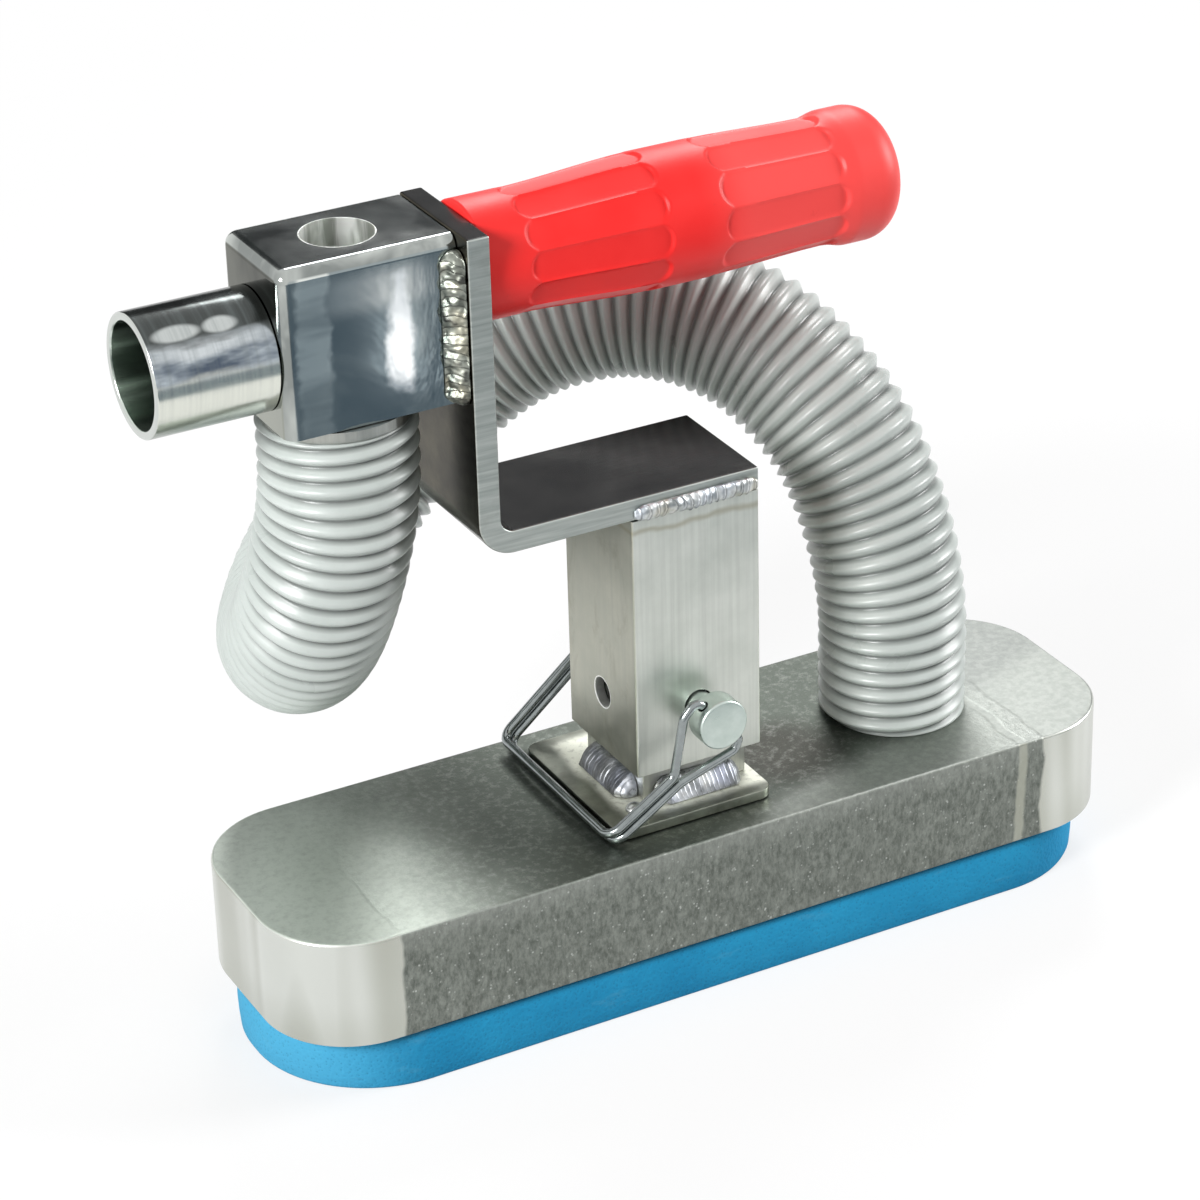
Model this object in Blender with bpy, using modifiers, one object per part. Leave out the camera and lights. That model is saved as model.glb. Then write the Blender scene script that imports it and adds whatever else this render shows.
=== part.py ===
"""Vacuum paver lifter, in metres, +Z up.

The foot stands on the floor (z = 0) on its sealing ring and its long side runs along X. The air comes in
through the inlet tube at the -X end and the operator's hand closes the thumb hole above it.
The origin is on the floor under the middle of the whole tool. All pieces hang under one empty that stands
at the middle of the foot, so the sizes below are counted from the foot's middle.
"""

import math

import bmesh
import bpy
from mathutils import Matrix, Vector, geometry

# Clearances
GAP = 0.0003              # between pieces that touch
SLIDE_FIT = 0.0004        # stub in the outer tube, each side
PIN_FIT = 0.0005          # lock pin in its cross holes, each side
WIRE_FIT = 0.00035        # bail wire in the pin head, each side
PLATE_TO_BAIL = 0.0005    # base plate's edges inside the bail's loop
HOSE_FIT = 0.0017         # spigots in the hose, each side; its ribs stand in by as much
SPIGOT_FIT = 0.0003       # spigot necks in their bores, each side

# Foot and seal
FOOT_LENGTH = 0.269
FOOT_WIDTH = 0.080
FOOT_HEIGHT = 0.033
FOOT_CORNER = 0.027
FOOT_EDGE = 0.0008
FOOT_RIM = 0.017          # width of the underside rim that carries the seal
FOOT_ROOF = 0.010
SEAL_HEIGHT = 0.0175
SEAL_INSET = 0.0015       # seal back from the foot's outline
SEAL_END_FLAT = 0.0030    # straight stretch in the middle of each of the seal's ends
SEAL_BAND = 0.014
PORT_X = 0.0765           # hose port on the foot

# Base plate, rivets and stub
PLATE_MARGIN = 0.0025     # plate past the stub on the port's side
PLATE_THICKNESS = 0.003
PLATE_CORNER = 0.004
RIVET_ASIDE = 0.0076      # front rivet's middle past the front bead's end
RIVET_AHEAD = 0.0064      # and in front of the left bead's end
RIVET_INSET = 0.0098      # back rivet's middle inside the plate's right edge
RIVET_HEAD = 0.0056
RIVET_DOME = 0.0020
RIVET_SHANK = 0.0030
RIVET_GRIP = 0.0060       # shank length in the foot
STUB_LENGTH = 0.062
STUB_WALL = 0.003

# Outer tube and bracket
TUBE_SIZE = 0.040
TUBE_WALL = 0.003
TUBE_LENGTH = 0.0803
TUBE_LIFT = 0.010         # tube's lower end above the base plate
TUBE_EDGE = 0.0006
BRACKET_THICKNESS = 0.0066
BRACKET_REACH = 0.0859    # from the upright's outer face to the level leg's end
BRACKET_RISE = 0.0923     # from the level leg's underside to the upright's top
BRACKET_INNER_BEND = 0.004

# Valve block
BLOCK_LENGTH = 0.050
BLOCK_DEPTH = 0.0362
BLOCK_HEIGHT = 0.047
BLOCK_SETBACK = 0.0062    # block's front face behind the bracket's front edge
BLOCK_DROP = 0.0006       # block's top under the bracket's top
BLOCK_ROUND = 0.0036
INLET_BORE = 0.025
THUMB_BORE = 0.0199
NECK_BORE = 0.028

# Inlet tube
INLET_DIAMETER = 0.0337
INLET_WALL = 0.0024
INLET_LENGTH = 0.034
INLET_DROP = 0.0033       # inlet's axis under the block's middle
INLET_CHAMFER = 0.0005

# Handle
HANDLE_DROP = 0.0145      # handle's axis under the bracket's top
HANDLE_TUBE_DIAMETER = 0.025
HANDLE_TUBE_WALL = 0.0025
HANDLE_TUBE_LENGTH = 0.122
GRIP_END_WALL = 0.0067
GRIP_BORE_FIT = 0.0003
GRIP_COLLAR_RADIUS = 0.0169
GRIP_BELLY_RADIUS = 0.0189
GRIP_NECK_RADIUS = 0.0178
GRIP_KNOB_RADIUS = 0.0189
GRIP_COLLAR_END = 0.0130  # distances from the bracket along the grip
GRIP_BELLY_START = 0.0550
GRIP_BELLY_END = 0.0705
GRIP_KNOB_LENGTH = 0.0190
GRIP_STEP = 0.0060        # length over which the neck swells to the knob
GRIP_END_ROUND = 0.0090
FLUTES = 12
FLUTE_DEPTH = 0.0009
FLUTE_RUNOUT = 0.0020     # length over which a flute fades out
FLUTE_SAMPLES = 4         # facets across one flute
FLUTE_TURN = 12.0         # the ridges' place round the grip, in degrees

# Hose and its spigots
HOSE_DIAMETER = 0.0436
HOSE_WALL = 0.0025
HOSE_SPACING = 0.010      # distance between the points of its tube
HOSE_SIDES = 4            # bevel resolution, twelve sides
HOSE_OFFSET = 0.0033      # hose's axis left of the block's middle
SPIGOT_LENGTH = 0.018
SPIGOT_NECK = 0.008
SPIGOT_BORE = 0.023
COLLAR_RADIUS = 0.0200
COLLAR_HEIGHT = 0.0030

# Lock pin and bail
PIN_HEIGHT = 0.0315       # pin's axis above the foot's top
PIN_DIAMETER = 0.008
PIN_HEAD_DIAMETER = 0.015
PIN_HEAD_LENGTH = 0.0074
PIN_HEAD_STANDOFF = 0.0070  # gap between the tube and the head
PIN_TIP_REACH = 0.0192    # tip past the tube's far face
PIN_TIP_TAPER = 0.003
HEAD_CHAMFER = 0.0008
WIRE_DIAMETER = 0.0027
STRAND_GAP = 0.0005       # between the bail's two strands
BAIL_ANGLE = 40.0         # bail below the level at rest, in degrees
BAIL_BACK = 0.0150        # back leg past the tube's far face
BAIL_BEND = 0.0040
HOLE_BEND = 0.0024
EAR_TOP = 0.0106          # where the strands leave the pin head, from its axis
EAR_BOTTOM = 0.0118

# Weld beads
BEAD_STEP = 0.0034        # ripple length
STUB_BEAD = 0.0060        # leg of the fillet around the stub
SIDE_BEAD = 0.0020        # leg where the plate's edge is near
BLOCK_BEAD = 0.0050
TUBE_BEAD_HEIGHT = 0.0048
TUBE_BEAD_RISE = 0.0020   # bead's middle above the seam
TUBE_BEAD_BULGE = 0.0014

ROUND_SIDES = 40

# Levels and places worked out from the sizes
SEAL_CORNER = (FOOT_WIDTH - 2 * SEAL_INSET - SEAL_END_FLAT) / 2
SPIGOT_RADIUS = HOSE_DIAMETER / 2 - HOSE_WALL - HOSE_FIT
FOOT_BOTTOM = SEAL_HEIGHT
FOOT_TOP = FOOT_BOTTOM + FOOT_HEIGHT
PLATE_BOTTOM = FOOT_TOP + GAP
PLATE_TOP = PLATE_BOTTOM + PLATE_THICKNESS
STUB_SIZE = TUBE_SIZE - 2 * TUBE_WALL - 2 * SLIDE_FIT
STUB_BOTTOM = PLATE_TOP + GAP
STUB_TOP = STUB_BOTTOM + STUB_LENGTH
TUBE_BOTTOM = PLATE_TOP + TUBE_LIFT
TUBE_TOP = TUBE_BOTTOM + TUBE_LENGTH
LEG_BOTTOM = TUBE_TOP + GAP
LEG_TOP = LEG_BOTTOM + BRACKET_THICKNESS
LEG_END = TUBE_SIZE / 2
UPRIGHT_LEFT = LEG_END - BRACKET_REACH
UPRIGHT_RIGHT = UPRIGHT_LEFT + BRACKET_THICKNESS
UPRIGHT_TOP = LEG_BOTTOM + BRACKET_RISE
BLOCK_RIGHT = UPRIGHT_LEFT - GAP
BLOCK_LEFT = BLOCK_RIGHT - BLOCK_LENGTH
BLOCK_TOP = UPRIGHT_TOP - BLOCK_DROP
BLOCK_BOTTOM = BLOCK_TOP - BLOCK_HEIGHT
BLOCK_X = (BLOCK_LEFT + BLOCK_RIGHT) / 2
BLOCK_FRONT = BLOCK_SETBACK - TUBE_SIZE / 2
BLOCK_Y = BLOCK_FRONT + BLOCK_DEPTH / 2
INLET_Z = BLOCK_TOP - BLOCK_HEIGHT / 2 - INLET_DROP
INLET_RIGHT = BLOCK_LEFT - GAP
INLET_LEFT = INLET_RIGHT - INLET_LENGTH
HANDLE_Z = UPRIGHT_TOP - HANDLE_DROP
GRIP_START = UPRIGHT_RIGHT + GAP
GRIP_LENGTH = HANDLE_TUBE_LENGTH + GAP + GRIP_END_WALL
GRIP_KNOB_START = GRIP_LENGTH - GRIP_KNOB_LENGTH
GRIP_KNOB_FULL = GRIP_KNOB_START - FLUTE_RUNOUT + GRIP_STEP
PIN_Z = FOOT_TOP + PIN_HEIGHT
PIN_RADIUS = PIN_DIAMETER / 2
HEAD_Y = -(TUBE_SIZE / 2 + PIN_HEAD_STANDOFF + PIN_HEAD_LENGTH / 2)
BAIL_BACK_Y = TUBE_SIZE / 2 + BAIL_BACK
WIRE_RADIUS = WIRE_DIAMETER / 2
WIRE_SPACING = WIRE_DIAMETER + STRAND_GAP
HOSE_TOP_X = BLOCK_X - HOSE_OFFSET
COLLAR_BOTTOM = BLOCK_BOTTOM - GAP - COLLAR_HEIGHT
HOSE_TOP = COLLAR_BOTTOM - GAP
HOSE_BOTTOM = FOOT_TOP + GAP
MIDDLE_X = -(INLET_LEFT + FOOT_LENGTH / 2) / 2

# The far leg of the bail lies on the foot's top, so its distance from the pin follows from the angle.
BAIL_SINE = math.sin(math.radians(BAIL_ANGLE))
BAIL_COSINE = math.cos(math.radians(BAIL_ANGLE))
BAIL_REACH = (PIN_HEIGHT - WIRE_RADIUS - GAP - BAIL_COSINE * WIRE_SPACING / 2) / BAIL_SINE

# The base plate fills the bail's loop on the front and the left, and ends close to the stub on the right.
BAIL_INSIDE = -BAIL_COSINE * BAIL_REACH + BAIL_SINE * WIRE_SPACING / 2 + WIRE_RADIUS
PLATE_LEFT = BAIL_INSIDE + PLATE_TO_BAIL
PLATE_RIGHT = STUB_SIZE / 2 + PLATE_MARGIN
PLATE_LENGTH = PLATE_RIGHT - PLATE_LEFT
PLATE_WIDTH = -2 * (HEAD_Y + WIRE_RADIUS + PLATE_TO_BAIL)
PLATE_X = (PLATE_LEFT + PLATE_RIGHT) / 2

# One rivet stands in the front left corner, clear of the beads' ends, and one behind the back bead.
BEAD_HALF = STUB_SIZE / 2 - STUB_WALL
RIVET_PLACES = (
    (-BEAD_HALF - RIVET_ASIDE, -BEAD_HALF - RIVET_AHEAD),
    (PLATE_RIGHT - RIVET_INSET, STUB_SIZE / 2 + STUB_BEAD + RIVET_HEAD / 2 + 2 * GAP),
)

# The hose's route between its two ends, chosen by hand: down from the block, round behind the bracket,
# over behind the grip and down to the port.
HOSE_ROUTE = (
    (HOSE_TOP_X, BLOCK_Y, HOSE_TOP),
    (HOSE_TOP_X, BLOCK_Y, HOSE_TOP - SPIGOT_LENGTH / 2),
    (HOSE_TOP_X - 0.0003, BLOCK_Y, HOSE_TOP - SPIGOT_LENGTH),
    (-0.0955, 0.0055, 0.1565),
    (-0.0972, 0.0085, 0.1425),
    (-0.0982, 0.0145, 0.1284),
    (-0.0978, 0.0240, 0.1150),
    (-0.0955, 0.0375, 0.1037),
    (-0.0908, 0.0530, 0.0966),
    (-0.0836, 0.0665, 0.0953),
    (-0.0748, 0.0780, 0.0982),
    (-0.0595, 0.0900, 0.1070),
    (-0.0385, 0.0960, 0.1250),
    (-0.0170, 0.0930, 0.1445),
    (0.0000, 0.0855, 0.1570),
    (0.0170, 0.0755, 0.1640),
    (0.0310, 0.0650, 0.1660),
    (0.0445, 0.0520, 0.1635),
    (0.0560, 0.0380, 0.1560),
    (0.0650, 0.0235, 0.1430),
    (0.0710, 0.0125, 0.1270),
    (0.0748, 0.0040, 0.1050),
    (PORT_X, 0.0004, 0.0850),
    (PORT_X, 0.0000, HOSE_BOTTOM + SPIGOT_LENGTH),
    (PORT_X, 0.0000, HOSE_BOTTOM + SPIGOT_LENGTH / 2),
    (PORT_X, 0.0000, HOSE_BOTTOM),
)


def clear_scene():
    for thing in list(bpy.data.objects):
        bpy.data.objects.remove(thing, do_unlink=True)


def new_collection(name):
    collection = bpy.data.collections.new(name)
    bpy.context.scene.collection.children.link(collection)
    return collection


def new_material(name, colour, roughness, metallic):
    material = bpy.data.materials.new(name)
    material.use_nodes = True
    shader = material.node_tree.nodes["Principled BSDF"]
    shader.inputs["Base Color"].default_value = (*colour, 1.0)
    shader.inputs["Roughness"].default_value = roughness
    shader.inputs["Metallic"].default_value = metallic
    return material


def new_empty(name, parent, location=(0, 0, 0), rotation=(0, 0, 0)):
    empty = bpy.data.objects.new(name, None)
    empty.location = location
    empty.rotation_euler = rotation
    empty.parent = parent
    PARTS.objects.link(empty)
    return empty


def add_piece(name, data, material, parent, location=(0, 0, 0), rotation=(0, 0, 0)):
    piece = bpy.data.objects.new(name, data)
    piece.location = location
    piece.rotation_euler = rotation
    piece.parent = parent
    PARTS.objects.link(piece)
    data.materials.append(material)
    return piece


def add_cutter(name, data, parent, location=(0, 0, 0), rotation=(0, 0, 0)):
    cutter = bpy.data.objects.new(name, data)
    cutter.location = location
    cutter.rotation_euler = rotation
    cutter.parent = parent
    cutter.hide_render = True
    cutter.display_type = "WIRE"
    CUTTERS.objects.link(cutter)
    return cutter


def cut(piece, cutter):
    boolean = piece.modifiers.new("cut " + cutter.name, "BOOLEAN")
    boolean.operation = "DIFFERENCE"
    boolean.solver = "EXACT"
    boolean.object = cutter


def smooth_rounds(mesh, angle=35.0):
    mesh.shade_smooth()
    mesh.set_sharp_from_angle(angle=math.radians(angle))


def arc(centre, radius, start, end, steps):
    """Points on a circle's arc in a plane, angles in degrees."""
    turn = [math.radians(start + (end - start) * k / steps) for k in range(steps + 1)]
    return [(centre[0] + radius * math.cos(a), centre[1] + radius * math.sin(a)) for a in turn]


def rounded_rectangle(length, width, radius, steps=8):
    across, along = length / 2 - radius, width / 2 - radius
    points = []
    for side_x, side_y, start in ((1, 1, 0), (-1, 1, 90), (-1, -1, 180), (1, -1, 270)):
        points += arc((side_x * across, side_y * along), radius, start, start + 90, steps)
    return points


def extruded_outline(name, outlines, thickness):
    """A mesh of flat outlines, holes included, extruded to both sides of its own XY plane."""
    curve = bpy.data.curves.new(name, "CURVE")
    curve.dimensions = "2D"
    curve.fill_mode = "BOTH"
    curve.extrude = thickness / 2
    for outline in outlines:
        spline = curve.splines.new("POLY")
        spline.points.add(len(outline) - 1)
        for point, (x, y) in zip(spline.points, outline):
            point.co = (x, y, 0, 1)
        spline.use_cyclic_u = True
    return curve_to_mesh(name, curve)


def curve_to_mesh(name, curve):
    holder = bpy.data.objects.new(name + " guide", curve)
    bpy.context.scene.collection.objects.link(holder)
    evaluated = holder.evaluated_get(bpy.context.evaluated_depsgraph_get())
    mesh = bpy.data.meshes.new_from_object(evaluated)
    mesh.name = name
    bpy.data.objects.remove(holder, do_unlink=True)
    bpy.data.curves.remove(curve)
    form = bmesh.new()
    form.from_mesh(mesh)
    bmesh.ops.remove_doubles(form, verts=form.verts, dist=0.000005)
    bmesh.ops.recalc_face_normals(form, faces=form.faces)
    form.to_mesh(mesh)
    form.free()
    mesh.materials.clear()
    return mesh


def cylinder(name, radius, length, sides=ROUND_SIDES):
    """A cylinder along Z, centred on the origin."""
    form = bmesh.new()
    bmesh.ops.create_cone(
        form, cap_ends=True, segments=sides, radius1=radius, radius2=radius, depth=length
    )
    mesh = bpy.data.meshes.new(name)
    form.to_mesh(mesh)
    form.free()
    smooth_rounds(mesh)
    return mesh


def turned(name, profile, sides=ROUND_SIDES):
    """A closed profile of (radius, height) points spun once around Z, counter-clockwise in the XZ plane."""
    form = bmesh.new()
    corners = [form.verts.new((radius, 0, height)) for radius, height in profile]
    edges = [form.edges.new((a, b)) for a, b in zip(corners, corners[1:] + corners[:1])]
    bmesh.ops.spin(
        form,
        geom=corners + edges,
        axis=(0, 0, 1),
        cent=(0, 0, 0),
        angle=2 * math.pi,
        steps=sides,
        use_merge=True,
    )
    bmesh.ops.remove_doubles(form, verts=form.verts, dist=0.000002)
    bmesh.ops.recalc_face_normals(form, faces=form.faces)
    mesh = bpy.data.meshes.new(name)
    form.to_mesh(mesh)
    form.free()
    smooth_rounds(mesh)
    return mesh


def bevel_edges(mesh, chosen, width, segments):
    """Rounds the edges of a mesh that a test picks, given their two end points."""
    form = bmesh.new()
    form.from_mesh(mesh)
    bmesh.ops.dissolve_limit(form, angle_limit=0.01, verts=form.verts, edges=form.edges)
    edges = [e for e in form.edges if chosen(e.verts[0].co, e.verts[1].co)]
    bmesh.ops.bevel(
        form, geom=edges, offset=width, segments=segments, profile=0.5, affect="EDGES"
    )
    form.to_mesh(mesh)
    form.free()


def rounded_path(corners, steps):
    """Points along a line whose corners, given as (point, bend radius), are rounded by arcs."""
    points = [Vector(corners[0][0])]
    for (before, _), (corner, radius), (after, _) in zip(corners, corners[1:], corners[2:]):
        corner = Vector(corner)
        back = (Vector(before) - corner).normalized()
        ahead = (Vector(after) - corner).normalized()
        half = back.angle(ahead) / 2
        centre = corner + (back + ahead).normalized() * radius / math.sin(half)
        begin = corner + back * radius / math.tan(half) - centre
        finish = corner + ahead * radius / math.tan(half) - centre
        turn = begin.angle(finish)
        for k in range(steps + 1):
            share = k / steps
            weights = math.sin((1 - share) * turn), math.sin(share * turn)
            points.append(centre + (begin * weights[0] + finish * weights[1]) / math.sin(turn))
    points.append(Vector(corners[-1][0]))
    return points


def smooth_route(route, spacing):
    """Evenly spaced points on a smooth curve through a route's own points."""
    knots = [Vector(point) for point in route]
    ends = [knots[0] * 2 - knots[1]] + knots + [knots[-1] * 2 - knots[-2]]
    fine = []
    for before, here, after, later in zip(ends, ends[1:], ends[2:], ends[3:]):
        pull_here, pull_after = (after - before) / 6, (later - here) / 6
        fine += geometry.interpolate_bezier(here, here + pull_here, after - pull_after, after, 12)[:-1]
    fine.append(knots[-1])
    travelled = [0.0]
    for a, b in zip(fine, fine[1:]):
        travelled.append(travelled[-1] + (b - a).length)
    count = round(travelled[-1] / spacing)
    points, place = [], 0
    for k in range(count + 1):
        target = travelled[-1] * k / count
        while place < len(fine) - 2 and travelled[place + 1] < target:
            place += 1
        share = (target - travelled[place]) / (travelled[place + 1] - travelled[place])
        points.append(fine[place].lerp(fine[place + 1], share))
    return points


def poly_tube(name, points, radius, resolution, caps=True):
    """A round tube along points, as a curve."""
    curve = bpy.data.curves.new(name, "CURVE")
    curve.dimensions = "3D"
    curve.bevel_depth = radius
    curve.bevel_resolution = resolution
    curve.use_fill_caps = caps
    curve.twist_mode = "MINIMUM"
    spline = curve.splines.new("POLY")
    spline.points.add(len(points) - 1)
    for slot, point in zip(spline.points, points):
        slot.co = (*point, 1)
    return curve


def square_tube_mesh(name, size, wall, length, edge=0.0):
    outer = rounded_rectangle(size, size, max(edge, 0.0002), steps=3)
    inner = rounded_rectangle(size - 2 * wall, size - 2 * wall, 0.0002, steps=1)
    return extruded_outline(name, (outer, inner), length)


def suction_foot(root):
    outline = rounded_rectangle(FOOT_LENGTH, FOOT_WIDTH, FOOT_CORNER, steps=10)
    mesh = extruded_outline("suction_foot", (outline,), FOOT_HEIGHT)
    top = FOOT_HEIGHT / 2 - 0.0001
    bevel_edges(mesh, lambda a, b: min(a.z, b.z) > top or max(a.z, b.z) < -top, FOOT_EDGE, 1)
    smooth_rounds(mesh)
    foot = add_piece(
        "suction_foot", mesh, ALUMINIUM, root, (0, 0, FOOT_BOTTOM + FOOT_HEIGHT / 2)
    )
    depth = FOOT_HEIGHT - FOOT_ROOF
    pocket = rounded_rectangle(
        FOOT_LENGTH - 2 * FOOT_RIM, FOOT_WIDTH - 2 * FOOT_RIM, SEAL_CORNER - FOOT_RIM, steps=6
    )
    cutter = extruded_outline("foot_pocket", (pocket,), 2 * depth)
    cut(foot, add_cutter("foot_pocket", cutter, root, (0, 0, FOOT_BOTTOM)))
    port = cylinder("foot_port", NECK_BORE / 2, 4 * FOOT_ROOF)
    cut(foot, add_cutter("foot_port", port, root, (PORT_X, 0, FOOT_TOP)))
    for number, (x, y) in enumerate(RIVET_PLACES, 1):
        name = f"foot_rivet_hole_{number}"
        hole = cylinder(name, RIVET_SHANK / 2 + GAP, 2 * RIVET_GRIP + 2 * GAP, 12)
        cut(foot, add_cutter(name, hole, root, (x, y, FOOT_TOP)))


def seal_ring(root):
    inset = 2 * SEAL_INSET
    length, width = FOOT_LENGTH - inset, FOOT_WIDTH - inset
    outer = rounded_rectangle(length, width, SEAL_CORNER, steps=12)
    band = 2 * SEAL_BAND
    inner = rounded_rectangle(length - band, width - band, SEAL_CORNER - SEAL_BAND, steps=12)
    height = SEAL_HEIGHT - GAP
    mesh = extruded_outline("seal_ring", (outer, inner), height)
    smooth_rounds(mesh)
    add_piece("seal_ring", mesh, FOAM, root, (0, 0, height / 2))


def base_plate(root):
    outline = rounded_rectangle(PLATE_LENGTH, PLATE_WIDTH, PLATE_CORNER, steps=5)
    mesh = extruded_outline("base_plate", (outline,), PLATE_THICKNESS)
    place = (PLATE_X, 0, PLATE_BOTTOM + PLATE_THICKNESS / 2)
    plate = add_piece("base_plate", mesh, ALUMINIUM, root, place)
    for number, (x, y) in enumerate(RIVET_PLACES, 1):
        name = f"plate_rivet_hole_{number}"
        hole = cylinder(name, RIVET_SHANK / 2 + GAP, 3 * PLATE_THICKNESS, 12)
        cut(plate, add_cutter(name, hole, root, (x, y, PLATE_TOP)))


def plate_rivets(root):
    head, shank = RIVET_HEAD / 2, RIVET_SHANK / 2
    bottom = -(PLATE_THICKNESS + 2 * GAP + RIVET_GRIP - GAP)
    dome = [
        (head * math.cos(math.radians(a)), RIVET_DOME * math.sin(math.radians(a)))
        for a in (0, 20, 40, 60, 80)
    ]
    profile = [(0.0, bottom), (shank, bottom), (shank, 0.0)] + dome + [(0.0, RIVET_DOME)]
    for number, (x, y) in enumerate(RIVET_PLACES, 1):
        mesh = turned(f"plate_rivet_{number}", profile, 16)
        add_piece(f"plate_rivet_{number}", mesh, STEEL, root, (x, y, PLATE_TOP + GAP))


def drill_cross_holes(piece, name, root):
    """Two holes right through a square tube, so that the foot fits turned by a quarter."""
    for axis, rotation in (("x", (0, math.pi / 2, 0)), ("y", (math.pi / 2, 0, 0))):
        drill = cylinder(f"{name}_drill_{axis}", PIN_RADIUS + PIN_FIT, 2 * TUBE_SIZE, 24)
        cut(piece, add_cutter(f"{name}_drill_{axis}", drill, root, (0, 0, PIN_Z), rotation))


def inner_stub(root):
    mesh = square_tube_mesh("inner_stub", STUB_SIZE, STUB_WALL, STUB_LENGTH)
    stub = add_piece("inner_stub", mesh, ALUMINIUM, root, (0, 0, STUB_BOTTOM + STUB_LENGTH / 2))
    drill_cross_holes(stub, "stub", root)


def outer_tube(root):
    mesh = square_tube_mesh("outer_tube", TUBE_SIZE, TUBE_WALL, TUBE_LENGTH, TUBE_EDGE)
    tube = add_piece("outer_tube", mesh, ALUMINIUM, root, (0, 0, TUBE_BOTTOM + TUBE_LENGTH / 2))
    drill_cross_holes(tube, "tube", root)


def bracket(root):
    """A flat bar bent to an angle, drawn as seen from the front and extruded over the tube's width."""
    outer_bend = BRACKET_INNER_BEND + BRACKET_THICKNESS
    centre = (UPRIGHT_LEFT + outer_bend, LEG_BOTTOM + outer_bend)
    outline = [(LEG_END, LEG_TOP)]
    outline += arc(centre, BRACKET_INNER_BEND, 270, 180, 6)
    outline += [(UPRIGHT_RIGHT, UPRIGHT_TOP), (UPRIGHT_LEFT, UPRIGHT_TOP)]
    outline += arc(centre, outer_bend, 180, 270, 8)
    outline += [(LEG_END, LEG_BOTTOM)]
    mesh = extruded_outline("bracket", (outline,), TUBE_SIZE)
    smooth_rounds(mesh)
    add_piece("bracket", mesh, ALUMINIUM, root, rotation=(math.pi / 2, 0, 0))


def valve_block(root):
    """The block with its rounded free edges, and the three bores that meet in its middle."""
    form = bmesh.new()
    size = Matrix.Diagonal((BLOCK_LENGTH, BLOCK_DEPTH, BLOCK_HEIGHT, 1))
    bmesh.ops.create_cube(form, size=1, matrix=size)
    mesh = bpy.data.meshes.new("valve_block")
    form.to_mesh(mesh)
    form.free()
    right, top = BLOCK_LENGTH / 2 - 0.0001, BLOCK_HEIGHT / 2 - 0.0001

    def free_edge(a, b):
        on_top = min(a.z, b.z) > top and min(a.x, b.x) < right
        left_upright = max(a.x, b.x) < -right and abs(a.z - b.z) > top
        return on_top or left_upright

    bevel_edges(mesh, free_edge, BLOCK_ROUND, 4)
    smooth_rounds(mesh)
    centre = (BLOCK_X, BLOCK_Y, BLOCK_TOP - BLOCK_HEIGHT / 2)
    block = add_piece("valve_block", mesh, POLISHED, root, centre)
    reach = BLOCK_X + INLET_BORE / 2 - BLOCK_LEFT
    inlet = cylinder("inlet_bore", INLET_BORE / 2, 2 * reach, 32)
    place = (BLOCK_LEFT, BLOCK_Y, INLET_Z)
    cut(block, add_cutter("inlet_bore", inlet, root, place, (0, math.pi / 2, 0)))
    thumb = cylinder("thumb_bore", THUMB_BORE / 2, 2 * (BLOCK_TOP - INLET_Z), 32)
    cut(block, add_cutter("thumb_bore", thumb, root, (BLOCK_X, BLOCK_Y, BLOCK_TOP)))
    neck = cylinder("neck_bore", NECK_BORE / 2, 2 * (INLET_Z - BLOCK_BOTTOM), 32)
    cut(block, add_cutter("neck_bore", neck, root, (HOSE_TOP_X, BLOCK_Y, BLOCK_BOTTOM)))


def inlet_tube(root):
    outer, inner, edge = INLET_DIAMETER / 2, INLET_DIAMETER / 2 - INLET_WALL, INLET_CHAMFER
    profile = (
        (inner, 0), (outer, 0), (outer, INLET_LENGTH - edge), (outer - edge, INLET_LENGTH),
        (inner + edge, INLET_LENGTH), (inner, INLET_LENGTH - edge),
    )
    mesh = turned("inlet_tube", profile)
    place = (INLET_RIGHT, BLOCK_Y, INLET_Z)
    add_piece("inlet_tube", mesh, POLISHED, root, place, (0, -math.pi / 2, 0))


def hose_spigots(root):
    """Two short tubes that the hose is pushed over, their necks in the block and in the foot."""
    bore, neck = SPIGOT_BORE / 2, NECK_BORE / 2 - SPIGOT_FIT
    top_end = HOSE_TOP - SPIGOT_LENGTH
    upper = (
        (bore, top_end), (SPIGOT_RADIUS, top_end), (SPIGOT_RADIUS, COLLAR_BOTTOM),
        (COLLAR_RADIUS, COLLAR_BOTTOM), (COLLAR_RADIUS, COLLAR_BOTTOM + COLLAR_HEIGHT),
        (neck, COLLAR_BOTTOM + COLLAR_HEIGHT), (neck, BLOCK_BOTTOM + SPIGOT_NECK),
        (bore, BLOCK_BOTTOM + SPIGOT_NECK),
    )
    mesh = turned("hose_spigot_top", upper)
    add_piece("hose_spigot_top", mesh, ALUMINIUM, root, (HOSE_TOP_X, BLOCK_Y, 0))
    lower = (
        (bore, FOOT_TOP - SPIGOT_NECK), (neck, FOOT_TOP - SPIGOT_NECK), (neck, FOOT_TOP + GAP),
        (SPIGOT_RADIUS, FOOT_TOP + GAP), (SPIGOT_RADIUS, HOSE_BOTTOM + SPIGOT_LENGTH),
        (bore, HOSE_BOTTOM + SPIGOT_LENGTH),
    )
    mesh = turned("hose_spigot_foot", lower)
    add_piece("hose_spigot_foot", mesh, ALUMINIUM, root, (PORT_X, 0, 0))


def hose(root):
    """The suction hose as a plain hollow tube, its ends square to its spigots."""
    points = smooth_route(HOSE_ROUTE, HOSE_SPACING)
    curve = poly_tube("hose", points, HOSE_DIAMETER / 2, HOSE_SIDES, caps=False)
    mesh = curve_to_mesh("hose", curve)
    smooth_rounds(mesh, 50.0)
    tube = add_piece("hose", mesh, HOSE_PLASTIC, root)
    wall = tube.modifiers.new("wall", "SOLIDIFY")
    wall.thickness = HOSE_WALL
    wall.offset = -1.0


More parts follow.
